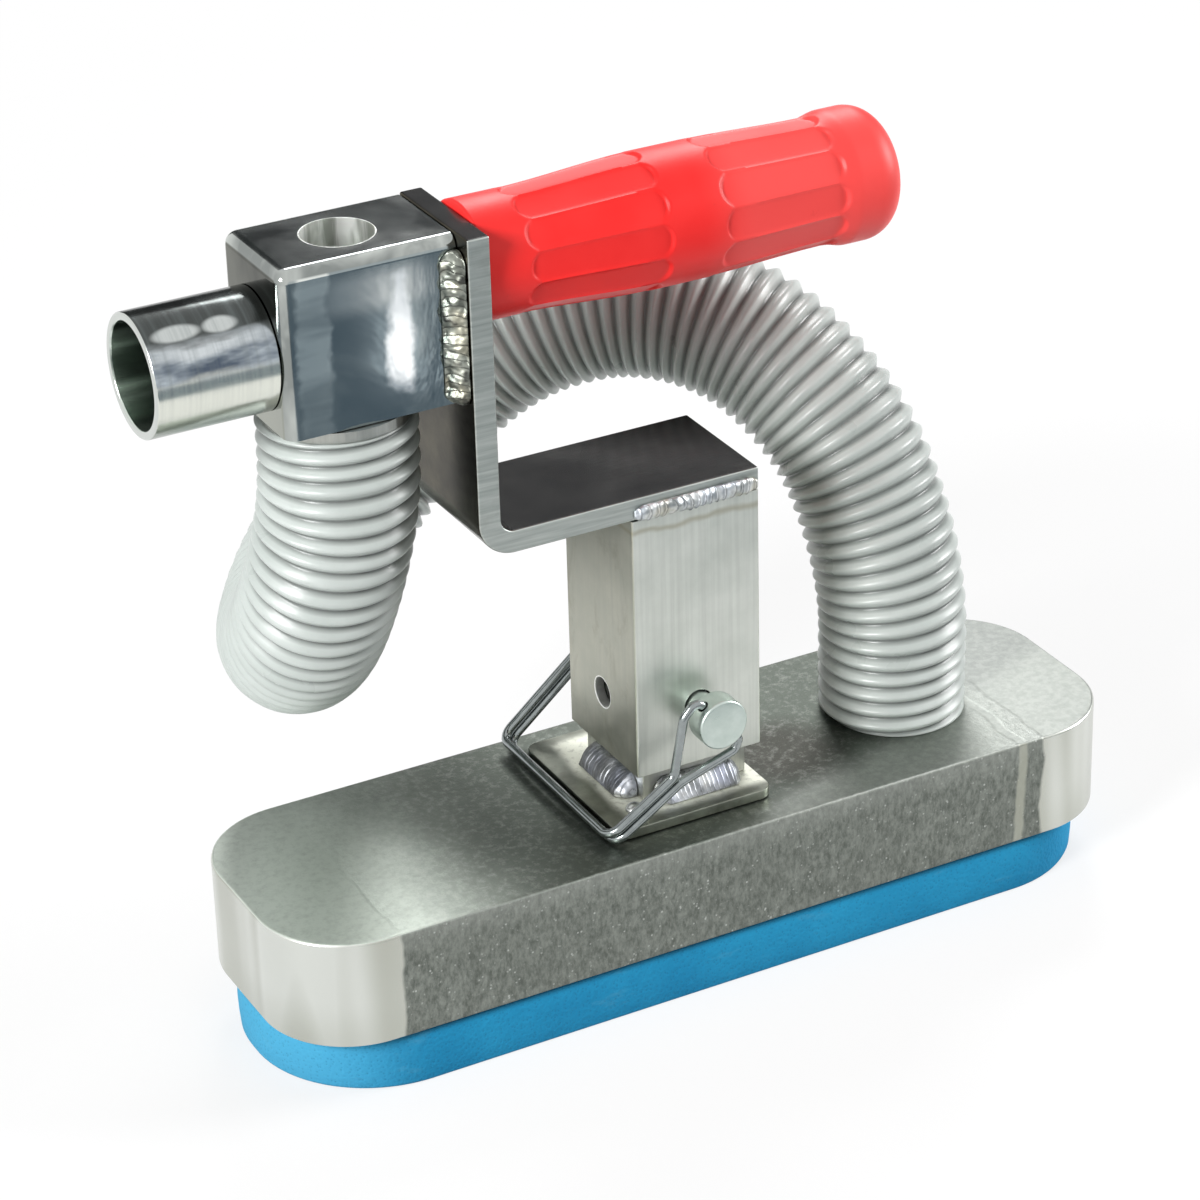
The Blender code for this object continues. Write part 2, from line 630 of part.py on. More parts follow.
def handle_tube(root):
    outer = HANDLE_TUBE_DIAMETER / 2
    inner = outer - HANDLE_TUBE_WALL
    profile = ((inner, 0), (outer, 0), (outer, HANDLE_TUBE_LENGTH), (inner, HANDLE_TUBE_LENGTH))
    mesh = turned("handle_tube", profile)
    add_piece("handle_tube", mesh, ALUMINIUM, root, (GRIP_START, 0, HANDLE_Z), (0, math.pi / 2, 0))


def grip_radius(along):
    """The grip's outer radius before fluting, at a distance from the bracket."""
    stations = (
        (0.0, GRIP_COLLAR_RADIUS),
        (GRIP_COLLAR_END, GRIP_COLLAR_RADIUS),
        (GRIP_BELLY_START, GRIP_BELLY_RADIUS),
        (GRIP_BELLY_END, GRIP_BELLY_RADIUS),
        (GRIP_KNOB_START - FLUTE_RUNOUT, GRIP_NECK_RADIUS),
        (GRIP_KNOB_FULL, GRIP_KNOB_RADIUS),
        (GRIP_LENGTH, GRIP_KNOB_RADIUS),
    )
    for (start, low), (end, high) in zip(stations, stations[1:]):
        if along <= end:
            share = (along - start) / (end - start)
            eased = share * share * (3 - 2 * share)
            return low + (high - low) * eased
    return GRIP_KNOB_RADIUS


def flute_strength(along):
    """How deep the flutes are at a distance from the bracket, from 0 to 1."""
    strength = 0.0
    for start, end in ((GRIP_COLLAR_END, GRIP_BELLY_START), (GRIP_BELLY_END, GRIP_KNOB_START)):
        inside = min(along - start, end - along) / FLUTE_RUNOUT
        strength = max(strength, min(max(inside, 0.0), 1.0))
    return strength


def grip(root):
    """A moulded sleeve, closed at its free end: a spun profile whose two long stretches are fluted."""
    bore = HANDLE_TUBE_DIAMETER / 2 + GRIP_BORE_FIT
    bore_end = HANDLE_TUBE_LENGTH + GAP
    cuts = []
    for start, end in ((GRIP_COLLAR_END, GRIP_BELLY_START), (GRIP_BELLY_END, GRIP_KNOB_START)):
        middle = [start + (end - start) * share for share in (0.33, 0.67)]
        cuts += [start, start + FLUTE_RUNOUT, *middle, end - FLUTE_RUNOUT, end]
    cuts += [GRIP_KNOB_START + FLUTE_RUNOUT, GRIP_KNOB_FULL, GRIP_LENGTH - GRIP_END_ROUND]
    profile = [(bore, 0.0), (grip_radius(0.0), 0.0)]
    profile += [(grip_radius(along), along) for along in cuts]
    corner = (GRIP_KNOB_RADIUS - GRIP_END_ROUND, GRIP_LENGTH - GRIP_END_ROUND)
    profile += arc(corner, GRIP_END_ROUND, 15, 90, 5)
    profile += [(0.0, GRIP_LENGTH), (0.0, bore_end), (bore, bore_end)]
    mesh = turned("grip", profile, FLUTES * FLUTE_SAMPLES)
    for vertex in mesh.vertices:
        radius = math.hypot(vertex.co.x, vertex.co.y)
        if radius > bore + 0.001:
            turn = math.atan2(vertex.co.y, vertex.co.x) * FLUTES / 2
            depth = FLUTE_DEPTH * flute_strength(vertex.co.z) * abs(math.sin(turn))
            vertex.co.x *= 1 - depth / radius
            vertex.co.y *= 1 - depth / radius
    mesh.transform(Matrix.Rotation(math.radians(FLUTE_TURN), 4, "Z"))
    add_piece("grip", mesh, RED_PLASTIC, root, (GRIP_START, 0, HANDLE_Z), (0, math.pi / 2, 0))


def lock_pin(axis):
    """The pin along Y: its local Z runs from the head's face to the tip."""
    radius, head, edge = PIN_RADIUS, PIN_HEAD_DIAMETER / 2, HEAD_CHAMFER
    length = PIN_HEAD_LENGTH + PIN_HEAD_STANDOFF + TUBE_SIZE + PIN_TIP_REACH
    profile = (
        (0.0, 0.0), (head - edge, 0.0), (head, edge), (head, PIN_HEAD_LENGTH - edge),
        (head - edge, PIN_HEAD_LENGTH), (radius, PIN_HEAD_LENGTH),
        (radius, length - PIN_TIP_TAPER), (radius - PIN_TIP_TAPER / 2, length), (0.0, length),
    )
    mesh = turned("lock_pin", profile, 32)
    face_y = HEAD_Y - PIN_HEAD_LENGTH / 2
    pin = add_piece("lock_pin", mesh, ZINC, axis, (0, face_y, 0), (-math.pi / 2, 0, 0))
    hole = cylinder("bail_hole", WIRE_RADIUS + WIRE_FIT, 2 * PIN_HEAD_DIAMETER, 16)
    cut(pin, add_cutter("bail_hole", hole, axis, (0, HEAD_Y, 0)))


def bail(axis):
    """One spring wire bent double: both ends in the head's cross hole, the closed end over the pin's tip.

    The points lie in the axis empty's frame, whose X runs from the pin to the far leg.
    """
    half, bend = WIRE_SPACING / 2, BAIL_BEND
    hold = PIN_RADIUS + WIRE_RADIUS + 2 * GAP
    inside = PIN_HEAD_DIAMETER / 5
    front, back, reach = HEAD_Y, BAIL_BACK_Y, BAIL_REACH
    joined = reach * 0.45
    lean = WIRE_SPACING
    upper = (
        ((0, front, -inside), 0),
        ((0, front, -EAR_TOP), HOLE_BEND),
        ((joined * 0.3, front, -EAR_TOP + half / 2), bend),
        ((joined, front, lean - half), bend),
        ((reach, front, -half), bend),
        ((reach, back, -half), bend),
        ((joined / 2, back, -half), bend),
        ((hold / 2, back, -hold), hold / 2),
        ((-hold, back, -hold), hold * 0.9),
    )
    lower = (
        ((-hold, back, hold), hold * 0.9),
        ((hold / 2, back, hold), hold / 2),
        ((joined / 2, back, half), bend),
        ((reach, back, half), bend),
        ((reach, front, half), bend),
        ((joined, front, lean + half), bend),
        ((joined * 0.15, front, EAR_BOTTOM), HOLE_BEND),
        ((0, front, EAR_BOTTOM - half), HOLE_BEND / 2),
        ((0, front, inside), 0),
    )
    points = rounded_path(upper + lower, 4)
    curve = poly_tube("bail", points, WIRE_RADIUS, 2)
    mesh = curve_to_mesh("bail", curve)
    smooth_rounds(mesh, 60.0)
    add_piece("bail", mesh, STEEL, axis)


def bead(name, root, section, start, end, across, outward):
    """A rippled weld bead, lofted along a seam.

    The section's points are counted in two directions square to the seam; each ripple swells the section
    slowly and drops off sharply, as the puddles of a hand weld overlap.
    """
    start, end = Vector(start), Vector(end)
    along = end - start
    ripples = max(3, round(along.length / BEAD_STEP))
    swell = ((0.02, 0.88), (0.55, 1.0), (0.98, 0.93))
    stations = [(0.0, 0.62)]
    for ripple in range(ripples):
        stations += [((ripple + place) / ripples, size) for place, size in swell]
    stations.append((1.0, 0.62))
    form = bmesh.new()
    rings = []
    for share, size in stations:
        middle = start + along * share
        ring = [middle + Vector(across) * a * size + Vector(outward) * b * size for a, b in section]
        rings.append([form.verts.new(point) for point in ring])
    for low, high in zip(rings, rings[1:]):
        for k in range(len(section)):
            following = (k + 1) % len(section)
            form.faces.new((low[k], low[following], high[following], high[k]))
    form.faces.new(rings[0])
    form.faces.new(rings[-1])
    bmesh.ops.recalc_face_normals(form, faces=form.faces)
    mesh = bpy.data.meshes.new(name)
    form.to_mesh(mesh)
    form.free()
    smooth_rounds(mesh, 50.0)
    add_piece(name, mesh, WELD, root)


def fillet_section(leg):
    """A bead in a right-angled corner: flat against both walls, bulging between them."""
    round_side = arc((0.12 * leg, 0.12 * leg), 0.88 * leg, 0, 90, 4)
    return [(0.0, 0.0), (leg, 0.0)] + round_side[1:-1] + [(0.0, leg)]


def stub_beads(root):
    """Four fillets between the stub and the base plate that stop short of the rivets in the corners."""
    wall = STUB_SIZE / 2 + GAP
    half = BEAD_HALF
    level = PLATE_TOP + GAP
    sides = (
        ("front", 0, -1, STUB_BEAD), ("right", 1, 0, SIDE_BEAD),
        ("back", 0, 1, STUB_BEAD), ("left", -1, 0, STUB_BEAD),
    )
    for name, out_x, out_y, leg in sides:
        section = fillet_section(leg)
        start = (out_x * wall - out_y * half, out_y * wall + out_x * half, level)
        end = (out_x * wall + out_y * half, out_y * wall - out_x * half, level)
        bead("weld_stub_" + name, root, section, start, end, (out_x, out_y, 0), (0, 0, 1))


def block_beads(root):
    """The upright fillet between the block's front face and the bracket."""
    section = fillet_section(BLOCK_BEAD)
    start = (UPRIGHT_LEFT - GAP, BLOCK_FRONT - GAP, BLOCK_BOTTOM)
    end = (UPRIGHT_LEFT - GAP, BLOCK_FRONT - GAP, BLOCK_TOP - BLOCK_ROUND)
    bead("weld_block_front", root, section, start, end, (-1, 0, 0), (0, -1, 0))


def tube_beads(root):
    """The two seams where the bracket's edges lie flush with the tube's faces; most of a bead is on the edge."""
    half = TUBE_BEAD_HEIGHT / 2
    section = [(-half, 0.0), (half, 0.0), (half * 0.75, TUBE_BEAD_BULGE * 0.7), (0.0, TUBE_BEAD_BULGE)]
    section.append((-half * 0.75, TUBE_BEAD_BULGE * 0.7))
    reach = TUBE_SIZE / 2 - TUBE_EDGE
    for name, side in (("front", -1), ("back", 1)):
        face = side * (TUBE_SIZE / 2 + GAP)
        level = LEG_BOTTOM + TUBE_BEAD_RISE
        start, end = (-reach, face, level), (reach, face, level)
        bead("weld_tube_" + name, root, section, start, end, (0, 0, 1), (0, side, 0))


clear_scene()
PARTS = new_collection("vacuum paver lifter")
CUTTERS = new_collection("cutters")
ALUMINIUM = new_material("aluminium", (0.55, 0.57, 0.54), 0.45, 1.0)
POLISHED = new_material("polished aluminium", (0.78, 0.80, 0.80), 0.12, 1.0)
WELD = new_material("weld", (0.66, 0.67, 0.66), 0.30, 1.0)
FOAM = new_material("blue sponge rubber", (0.02, 0.23, 0.50), 0.85, 0.0)
RED_PLASTIC = new_material("red plastic", (0.85, 0.04, 0.02), 0.40, 0.0)
HOSE_PLASTIC = new_material("grey hose plastic", (0.56, 0.60, 0.59), 0.35, 0.0)
ZINC = new_material("zinc plated steel", (0.62, 0.67, 0.66), 0.30, 1.0)
STEEL = new_material("bright steel", (0.60, 0.63, 0.62), 0.20, 1.0)


def build():
    root = new_empty("lifter", None, (MIDDLE_X, 0, 0))
    suction_foot(root)
    seal_ring(root)
    base_plate(root)
    plate_rivets(root)
    inner_stub(root)
    stub_beads(root)
    outer_tube(root)
    bracket(root)
    tube_beads(root)
    valve_block(root)
    block_beads(root)
    inlet_tube(root)
    hose_spigots(root)
    hose(root)
    handle_tube(root)
    grip(root)
    turn = (0, math.radians(180 - BAIL_ANGLE), 0)
    axis = new_empty("pin_axis", root, (0, 0, PIN_Z), turn)
    lock_pin(axis)
    bail(axis)


build()
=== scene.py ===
"""The looks of the vacuum paver lifter, in metres, +Z up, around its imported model."""

import math

import bmesh
import bpy
from mathutils import Matrix, Vector, geometry, noise


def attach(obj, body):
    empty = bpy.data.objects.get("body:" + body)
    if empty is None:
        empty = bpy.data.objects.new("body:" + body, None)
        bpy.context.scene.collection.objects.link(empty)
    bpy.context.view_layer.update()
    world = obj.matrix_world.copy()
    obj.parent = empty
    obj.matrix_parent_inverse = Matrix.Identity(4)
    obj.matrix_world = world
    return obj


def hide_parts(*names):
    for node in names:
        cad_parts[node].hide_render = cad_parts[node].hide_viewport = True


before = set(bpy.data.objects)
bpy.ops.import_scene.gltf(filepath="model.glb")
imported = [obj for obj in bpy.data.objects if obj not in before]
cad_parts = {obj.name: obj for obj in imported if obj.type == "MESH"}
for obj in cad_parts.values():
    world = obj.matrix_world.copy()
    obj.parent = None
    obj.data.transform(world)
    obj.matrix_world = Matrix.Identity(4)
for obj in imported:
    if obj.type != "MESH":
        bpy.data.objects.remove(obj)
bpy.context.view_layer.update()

# Sizes and places, the same as the solids have
SHIFT = Vector((0.008, 0, 0))   # from the foot's middle, which the sizes are counted from
GAP = 0.0003
FOOT_LENGTH, FOOT_WIDTH, FOOT_CORNER = 0.269, 0.080, 0.027
FOOT_BOTTOM, FOOT_TOP = 0.0175, 0.0505
FOOT_RIM, FOOT_ROOF, FOOT_EDGE = 0.017, 0.010, 0.0009
SEAL_INSET, SEAL_CORNER, SEAL_BAND = 0.0015, 0.037, 0.014
PORT_X = 0.0765
NECK_BORE = 0.028
PLATE_MARGIN, PLATE_THICKNESS, PLATE_CORNER, PLATE_TO_BAIL = 0.0025, 0.003, 0.004, 0.0005
RIVET_HEAD, RIVET_DOME = 0.0056, 0.0020
RIVET_ASIDE, RIVET_AHEAD, RIVET_INSET = 0.0076, 0.0064, 0.0098
TUBE_SIZE, TUBE_WALL, TUBE_LENGTH, TUBE_LIFT = 0.040, 0.003, 0.0803, 0.010
BRACKET_THICKNESS, BRACKET_REACH, BRACKET_RISE = 0.0066, 0.0859, 0.0923
BRACKET_INNER_BEND = 0.004
BLOCK_LENGTH, BLOCK_DEPTH, BLOCK_HEIGHT = 0.050, 0.0362, 0.047
BLOCK_Y, BLOCK_DROP, BLOCK_ROUND = 0.0043, 0.0006, 0.0036
INLET_BORE, THUMB_BORE = 0.025, 0.0199
INLET_DIAMETER, INLET_WALL, INLET_LENGTH, INLET_DROP = 0.0337, 0.0024, 0.034, 0.0033
HANDLE_DROP = 0.0145
HANDLE_TUBE_DIAMETER = 0.025
GRIP_LENGTH = 0.1290
GRIP_COLLAR_RADIUS, GRIP_BELLY_RADIUS = 0.0169, 0.0189
GRIP_NECK_RADIUS, GRIP_KNOB_RADIUS = 0.0178, 0.0189
GRIP_COLLAR_END, GRIP_BELLY_START = 0.0130, 0.0550
GRIP_BELLY_END, GRIP_KNOB_START, GRIP_END_ROUND = 0.0705, 0.1100, 0.0090
GRIP_STEP = 0.0060
FLUTES, FLUTE_DEPTH, FLUTE_TURN = 12, 0.0009, 12.0
HOSE_DIAMETER, HOSE_OFFSET = 0.0436, 0.0033
SPIGOT_RADIUS, SPIGOT_LENGTH, COLLAR_HEIGHT = 0.0176, 0.018, 0.0030
PIN_HEIGHT, PIN_DIAMETER = 0.0315, 0.008
DRILL_RADIUS = PIN_DIAMETER / 2 + 0.0005
PIN_HEAD_DIAMETER, PIN_HEAD_LENGTH, PIN_HEAD_STANDOFF = 0.015, 0.0074, 0.0070
PIN_TIP_REACH, PIN_TIP_TAPER = 0.0192, 0.003
WIRE_DIAMETER, WIRE_SPACING, BAIL_ANGLE = 0.0027, 0.0032, 40.0
BAIL_BACK, BAIL_BEND, HOLE_BEND = 0.0150, 0.0040, 0.0024
EAR_TOP, EAR_BOTTOM = 0.0106, 0.0118
STUB_BEAD, SIDE_BEAD, BLOCK_BEAD = 0.0060, 0.0020, 0.0050
TUBE_BEAD_HEIGHT, TUBE_BEAD_BULGE, TUBE_BEAD_RISE = 0.0048, 0.0014, 0.0020

PLATE_TOP = FOOT_TOP + GAP + PLATE_THICKNESS
STUB_SIZE = TUBE_SIZE - 2 * TUBE_WALL - 0.0008
TUBE_BOTTOM = PLATE_TOP + TUBE_LIFT
TUBE_TOP = TUBE_BOTTOM + TUBE_LENGTH
LEG_BOTTOM = TUBE_TOP + GAP
LEG_TOP = LEG_BOTTOM + BRACKET_THICKNESS
LEG_END = TUBE_SIZE / 2
UPRIGHT_LEFT = LEG_END - BRACKET_REACH
UPRIGHT_RIGHT = UPRIGHT_LEFT + BRACKET_THICKNESS
UPRIGHT_TOP = LEG_BOTTOM + BRACKET_RISE
BLOCK_RIGHT = UPRIGHT_LEFT - GAP
BLOCK_LEFT = BLOCK_RIGHT - BLOCK_LENGTH
BLOCK_TOP = UPRIGHT_TOP - BLOCK_DROP
BLOCK_BOTTOM = BLOCK_TOP - BLOCK_HEIGHT
BLOCK_X = (BLOCK_LEFT + BLOCK_RIGHT) / 2
BLOCK_FRONT = BLOCK_Y - BLOCK_DEPTH / 2
INLET_Z = BLOCK_TOP - BLOCK_HEIGHT / 2 - INLET_DROP
HANDLE_Z = UPRIGHT_TOP - HANDLE_DROP
HOSE_TOP_X = BLOCK_X - HOSE_OFFSET
PIN_Z = FOOT_TOP + PIN_HEIGHT
HEAD_Y = -(TUBE_SIZE / 2 + PIN_HEAD_STANDOFF + PIN_HEAD_LENGTH / 2)
HOSE_TOP = BLOCK_BOTTOM - GAP - COLLAR_HEIGHT - GAP
HOSE_BOTTOM = FOOT_TOP + GAP
WIRE_RADIUS = WIRE_DIAMETER / 2
BAIL_SINE = math.sin(math.radians(BAIL_ANGLE))
BAIL_COSINE = math.cos(math.radians(BAIL_ANGLE))
BAIL_REACH = (PIN_HEIGHT - WIRE_RADIUS - GAP - BAIL_COSINE * WIRE_SPACING / 2) / BAIL_SINE
BAIL_INSIDE = -BAIL_COSINE * BAIL_REACH + BAIL_SINE * WIRE_SPACING / 2 + WIRE_RADIUS
PLATE_LEFT = BAIL_INSIDE + PLATE_TO_BAIL
PLATE_RIGHT = STUB_SIZE / 2 + PLATE_MARGIN
PLATE_WIDTH = -2 * (HEAD_Y + WIRE_RADIUS + PLATE_TO_BAIL)
BEAD_HALF = STUB_SIZE / 2 - 0.003
RIVET_PLACES = (
    (-BEAD_HALF - RIVET_ASIDE, -BEAD_HALF - RIVET_AHEAD),
    (PLATE_RIGHT - RIVET_INSET, STUB_SIZE / 2 + STUB_BEAD + RIVET_HEAD / 2 + 2 * GAP),
)

HOSE_ROUTE = (
    (HOSE_TOP_X, BLOCK_Y, HOSE_TOP),
    (HOSE_TOP_X, BLOCK_Y, HOSE_TOP - SPIGOT_LENGTH / 2),
    (HOSE_TOP_X - 0.0003, BLOCK_Y, HOSE_TOP - SPIGOT_LENGTH),
    (-0.0955, 0.0055, 0.1565),
    (-0.0972, 0.0085, 0.1425),
    (-0.0982, 0.0145, 0.1284),
    (-0.0978, 0.0240, 0.1150),
    (-0.0955, 0.0375, 0.1037),
    (-0.0908, 0.0530, 0.0966),
    (-0.0836, 0.0665, 0.0953),
    (-0.0748, 0.0780, 0.0982),
    (-0.0595, 0.0900, 0.1070),
    (-0.0385, 0.0960, 0.1250),
    (-0.0170, 0.0930, 0.1445),
    (0.0000, 0.0855, 0.1570),
    (0.0170, 0.0755, 0.1640),
    (0.0310, 0.0650, 0.1660),
    (0.0445, 0.0520, 0.1635),
    (0.0560, 0.0380, 0.1560),
    (0.0650, 0.0235, 0.1430),
    (0.0710, 0.0125, 0.1270),
    (0.0748, 0.0040, 0.1050),
    (PORT_X, 0.0004, 0.0850),
    (PORT_X, 0.0000, HOSE_BOTTOM + SPIGOT_LENGTH),
    (PORT_X, 0.0000, HOSE_BOTTOM + SPIGOT_LENGTH / 2),
    (PORT_X, 0.0000, HOSE_BOTTOM),
)


# Shapes

MERGE_REACH = 0.000002   # points nearer than this are one point


def arc(centre, radius, start, end, steps):
    turn = [math.radians(start + (end - start) * k / steps) for k in range(steps + 1)]
    return [(centre[0] + radius * math.cos(a), centre[1] + radius * math.sin(a)) for a in turn]


def rounded_rectangle(length, width, radius, steps=8):
    across, along = length / 2 - radius, width / 2 - radius
    points = []
    for side_x, side_y, start in ((1, 1, 0), (-1, 1, 90), (-1, -1, 180), (1, -1, 270)):
        points += arc((side_x * across, side_y * along), radius, start, start + 90, steps)
    return points


def linked(name, data):
    thing = bpy.data.objects.new(name, data)
    bpy.context.scene.collection.objects.link(thing)
    return thing


def form_mesh(name, form):
    mesh = bpy.data.meshes.new(name)
    form.to_mesh(mesh)
    form.free()
    return mesh


def object_mesh(thing, name):
    """The evaluated mesh of an object."""
    mesh = bpy.data.meshes.new_from_object(thing.evaluated_get(bpy.context.evaluated_depsgraph_get()))
    mesh.name = name
    return mesh


def taken_mesh(holder, name):
    """The evaluated mesh of an object that is only needed for it."""
    mesh = object_mesh(holder, name)
    data = holder.data
    bpy.data.objects.remove(holder, do_unlink=True)
    if isinstance(data, bpy.types.Curve):
        bpy.data.curves.remove(data)
    return mesh


def new_piece(name, mesh, material, node, smooth, body="lifter"):
    piece = linked(name, mesh)
    mesh.shade_smooth()
    if smooth:
        mesh.set_sharp_from_angle(angle=math.radians(smooth))
    mesh.materials.clear()
    mesh.materials.append(material)
    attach(piece, body)
    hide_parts(node)
    return piece


def levelled(piece):
    """Normals weighted by area, so that a polished flat face reflects as a flat one."""
    piece.modifiers.new("normals", "WEIGHTED_NORMAL").keep_sharp = True
    mesh = object_mesh(piece, piece.name)
    piece.modifiers.clear()
    piece.data = mesh


def cleaned(mesh, reach, flat=True):
    """Doubled points merged, flat faces joined unless told not to, and normals turned outward."""
    form = bmesh.new()
    form.from_mesh(mesh)
    bmesh.ops.remove_doubles(form, verts=form.verts, dist=reach)
    if flat:
        bmesh.ops.dissolve_limit(form, angle_limit=0.002, verts=form.verts, edges=form.edges)
    bmesh.ops.recalc_face_normals(form, faces=form.faces)
    form.to_mesh(mesh)
    form.free()
    return mesh


def curve_mesh(name, outlines, cyclic, **settings):
    """The mesh of a curve with straight stretches."""
    curve = bpy.data.curves.new(name, "CURVE")
    for key, value in settings.items():
        setattr(curve, key, value)
    for outline in outlines:
        spline = curve.splines.new("POLY")
        spline.points.add(len(outline) - 1)
        for point, place in zip(spline.points, outline):
            point.co = (*place, 1)
        spline.use_cyclic_u = cyclic
    return taken_mesh(linked(name, curve), name)


def extruded(name, outlines, thickness):
    """Flat outlines, holes included, extruded to both sides of the XY plane."""
    flat = [[(x, y, 0) for x, y in outline] for outline in outlines]
    mesh = curve_mesh(name, flat, True, dimensions="2D", fill_mode="BOTH", extrude=thickness / 2)
    return cleaned(mesh, 2 * MERGE_REACH)


def wire(name, points, radius):
    mesh = curve_mesh(
        name, [points], False, dimensions="3D", bevel_depth=radius, bevel_resolution=6,
        use_fill_caps=True, twist_mode="MINIMUM",
    )
    return cleaned(mesh, MERGE_REACH, flat=False)


def turned(name, profile, sides=96):
    """A closed profile of (radius, height) points spun around Z."""
    form = bmesh.new()
    corners = [form.verts.new((radius, 0, height)) for radius, height in profile]
    edges = [form.edges.new((a, b)) for a, b in zip(corners, corners[1:] + corners[:1])]
    bmesh.ops.spin(
        form, geom=corners + edges, axis=(0, 0, 1), cent=(0, 0, 0),
        angle=2 * math.pi, steps=sides, use_merge=True,
    )
    bmesh.ops.remove_doubles(form, verts=form.verts, dist=MERGE_REACH / 2)
    bmesh.ops.recalc_face_normals(form, faces=form.faces)
    return form_mesh(name, form)


def rod(radius, length, sides=64):
    form = bmesh.new()
    bmesh.ops.create_cone(
        form, cap_ends=True, segments=sides, radius1=radius, radius2=radius, depth=length
    )
    return form_mesh("rod", form)


def carved(name, mesh, cutters, width, segments=2, angle=35.0):
    """The mesh with cutters taken away, given as (mesh, matrix), and its sharp edges rounded."""
    holder = linked(name, mesh)
    tools = []
    for cutter, matrix in cutters:
        tool = linked(name + " cutter", cutter)
        tool.matrix_world = matrix
        boolean = holder.modifiers.new("cut", "BOOLEAN")
        boolean.operation = "DIFFERENCE"
        boolean.solver = "EXACT"
        boolean.object = tool
        tools.append(tool)
    bpy.context.view_layer.update()
    result = cleaned(taken_mesh(holder, name), MERGE_REACH)
    for tool in tools:
        bpy.data.objects.remove(tool, do_unlink=True)
    if width:
        holder = linked(name, result)
        bevel = holder.modifiers.new("edges", "BEVEL")
        bevel.width = width
        bevel.segments = segments
        bevel.limit_method = "ANGLE"
        bevel.angle_limit = math.radians(angle)
        bevel.use_clamp_overlap = True
        result = taken_mesh(holder, name)
    return result


def placed(mesh, location, rotation=None):
    if rotation:
        mesh.transform(rotation)
    mesh.transform(Matrix.Translation(Vector(location) + SHIFT))
    return mesh


def rounded_path(corners, steps):
    points = [Vector(corners[0][0])]
    for (before, _), (corner, radius), (after, _) in zip(corners, corners[1:], corners[2:]):
        corner = Vector(corner)
        back = (Vector(before) - corner).normalized()
        ahead = (Vector(after) - corner).normalized()
        half = back.angle(ahead) / 2
        centre = corner + (back + ahead).normalized() * radius / math.sin(half)
        begin = corner + back * radius / math.tan(half) - centre
        finish = corner + ahead * radius / math.tan(half) - centre
        turn = begin.angle(finish)
        for k in range(steps + 1):
            share = k / steps
            weights = math.sin((1 - share) * turn), math.sin(share * turn)
            points.append(centre + (begin * weights[0] + finish * weights[1]) / math.sin(turn))
    points.append(Vector(corners[-1][0]))
    return points


def smooth_route(route, spacing):
    knots = [Vector(point) for point in route]
    ends = [knots[0] * 2 - knots[1]] + knots + [knots[-1] * 2 - knots[-2]]
    fine = []
    for before, here, after, later in zip(ends, ends[1:], ends[2:], ends[3:]):
        pull_here, pull_after = (after - before) / 6, (later - here) / 6
        fine += geometry.interpolate_bezier(here, here + pull_here, after - pull_after, after, 12)[:-1]
    fine.append(knots[-1])
    return evenly_spaced(fine, spacing)


def evenly_spaced(fine, spacing):
    travelled = [0.0]
    for a, b in zip(fine, fine[1:]):
        travelled.append(travelled[-1] + (b - a).length)
    count = round(travelled[-1] / spacing)
    points, place = [], 0
    for k in range(count + 1):
        target = travelled[-1] * k / count
        while place < len(fine) - 2 and travelled[place + 1] < target:
            place += 1
        share = (target - travelled[place]) / (travelled[place + 1] - travelled[place])
        points.append(fine[place].lerp(fine[place + 1], share))
    return points


def grid_mesh(name, rows, caps=True, hollows=None):
    """A skin over rings of points; hollows, from 0 to 1, are kept for the material."""
    form = bmesh.new()
    rings = [[form.verts.new(point) for point in row] for row in rows]
    for low, high in zip(rings, rings[1:]):
        for k in range(len(low)):
            following = (k + 1) % len(low)
            form.faces.new((low[k], low[following], high[following], high[k]))
    if caps:
        form.faces.new(rings[0])
        form.faces.new(rings[-1])
    bmesh.ops.recalc_face_normals(form, faces=form.faces)
    mesh = form_mesh(name, form)
    if hollows:
        values = [value for row in hollows for value in row]
        mesh.attributes.new("hollow", "FLOAT", "POINT").data.foreach_set("value", values)
    return mesh


# Materials

def add_node(tree, kind, inputs=None, **settings):
    node = tree.nodes.new(kind)
    for key, value in settings.items():
        setattr(node, key, value)
    for key, value in (inputs or {}).items():
        if isinstance(value, Field):
            tree.links.new(value.socket, node.inputs[key])
        else:
            node.inputs[key].default_value = value
    return node


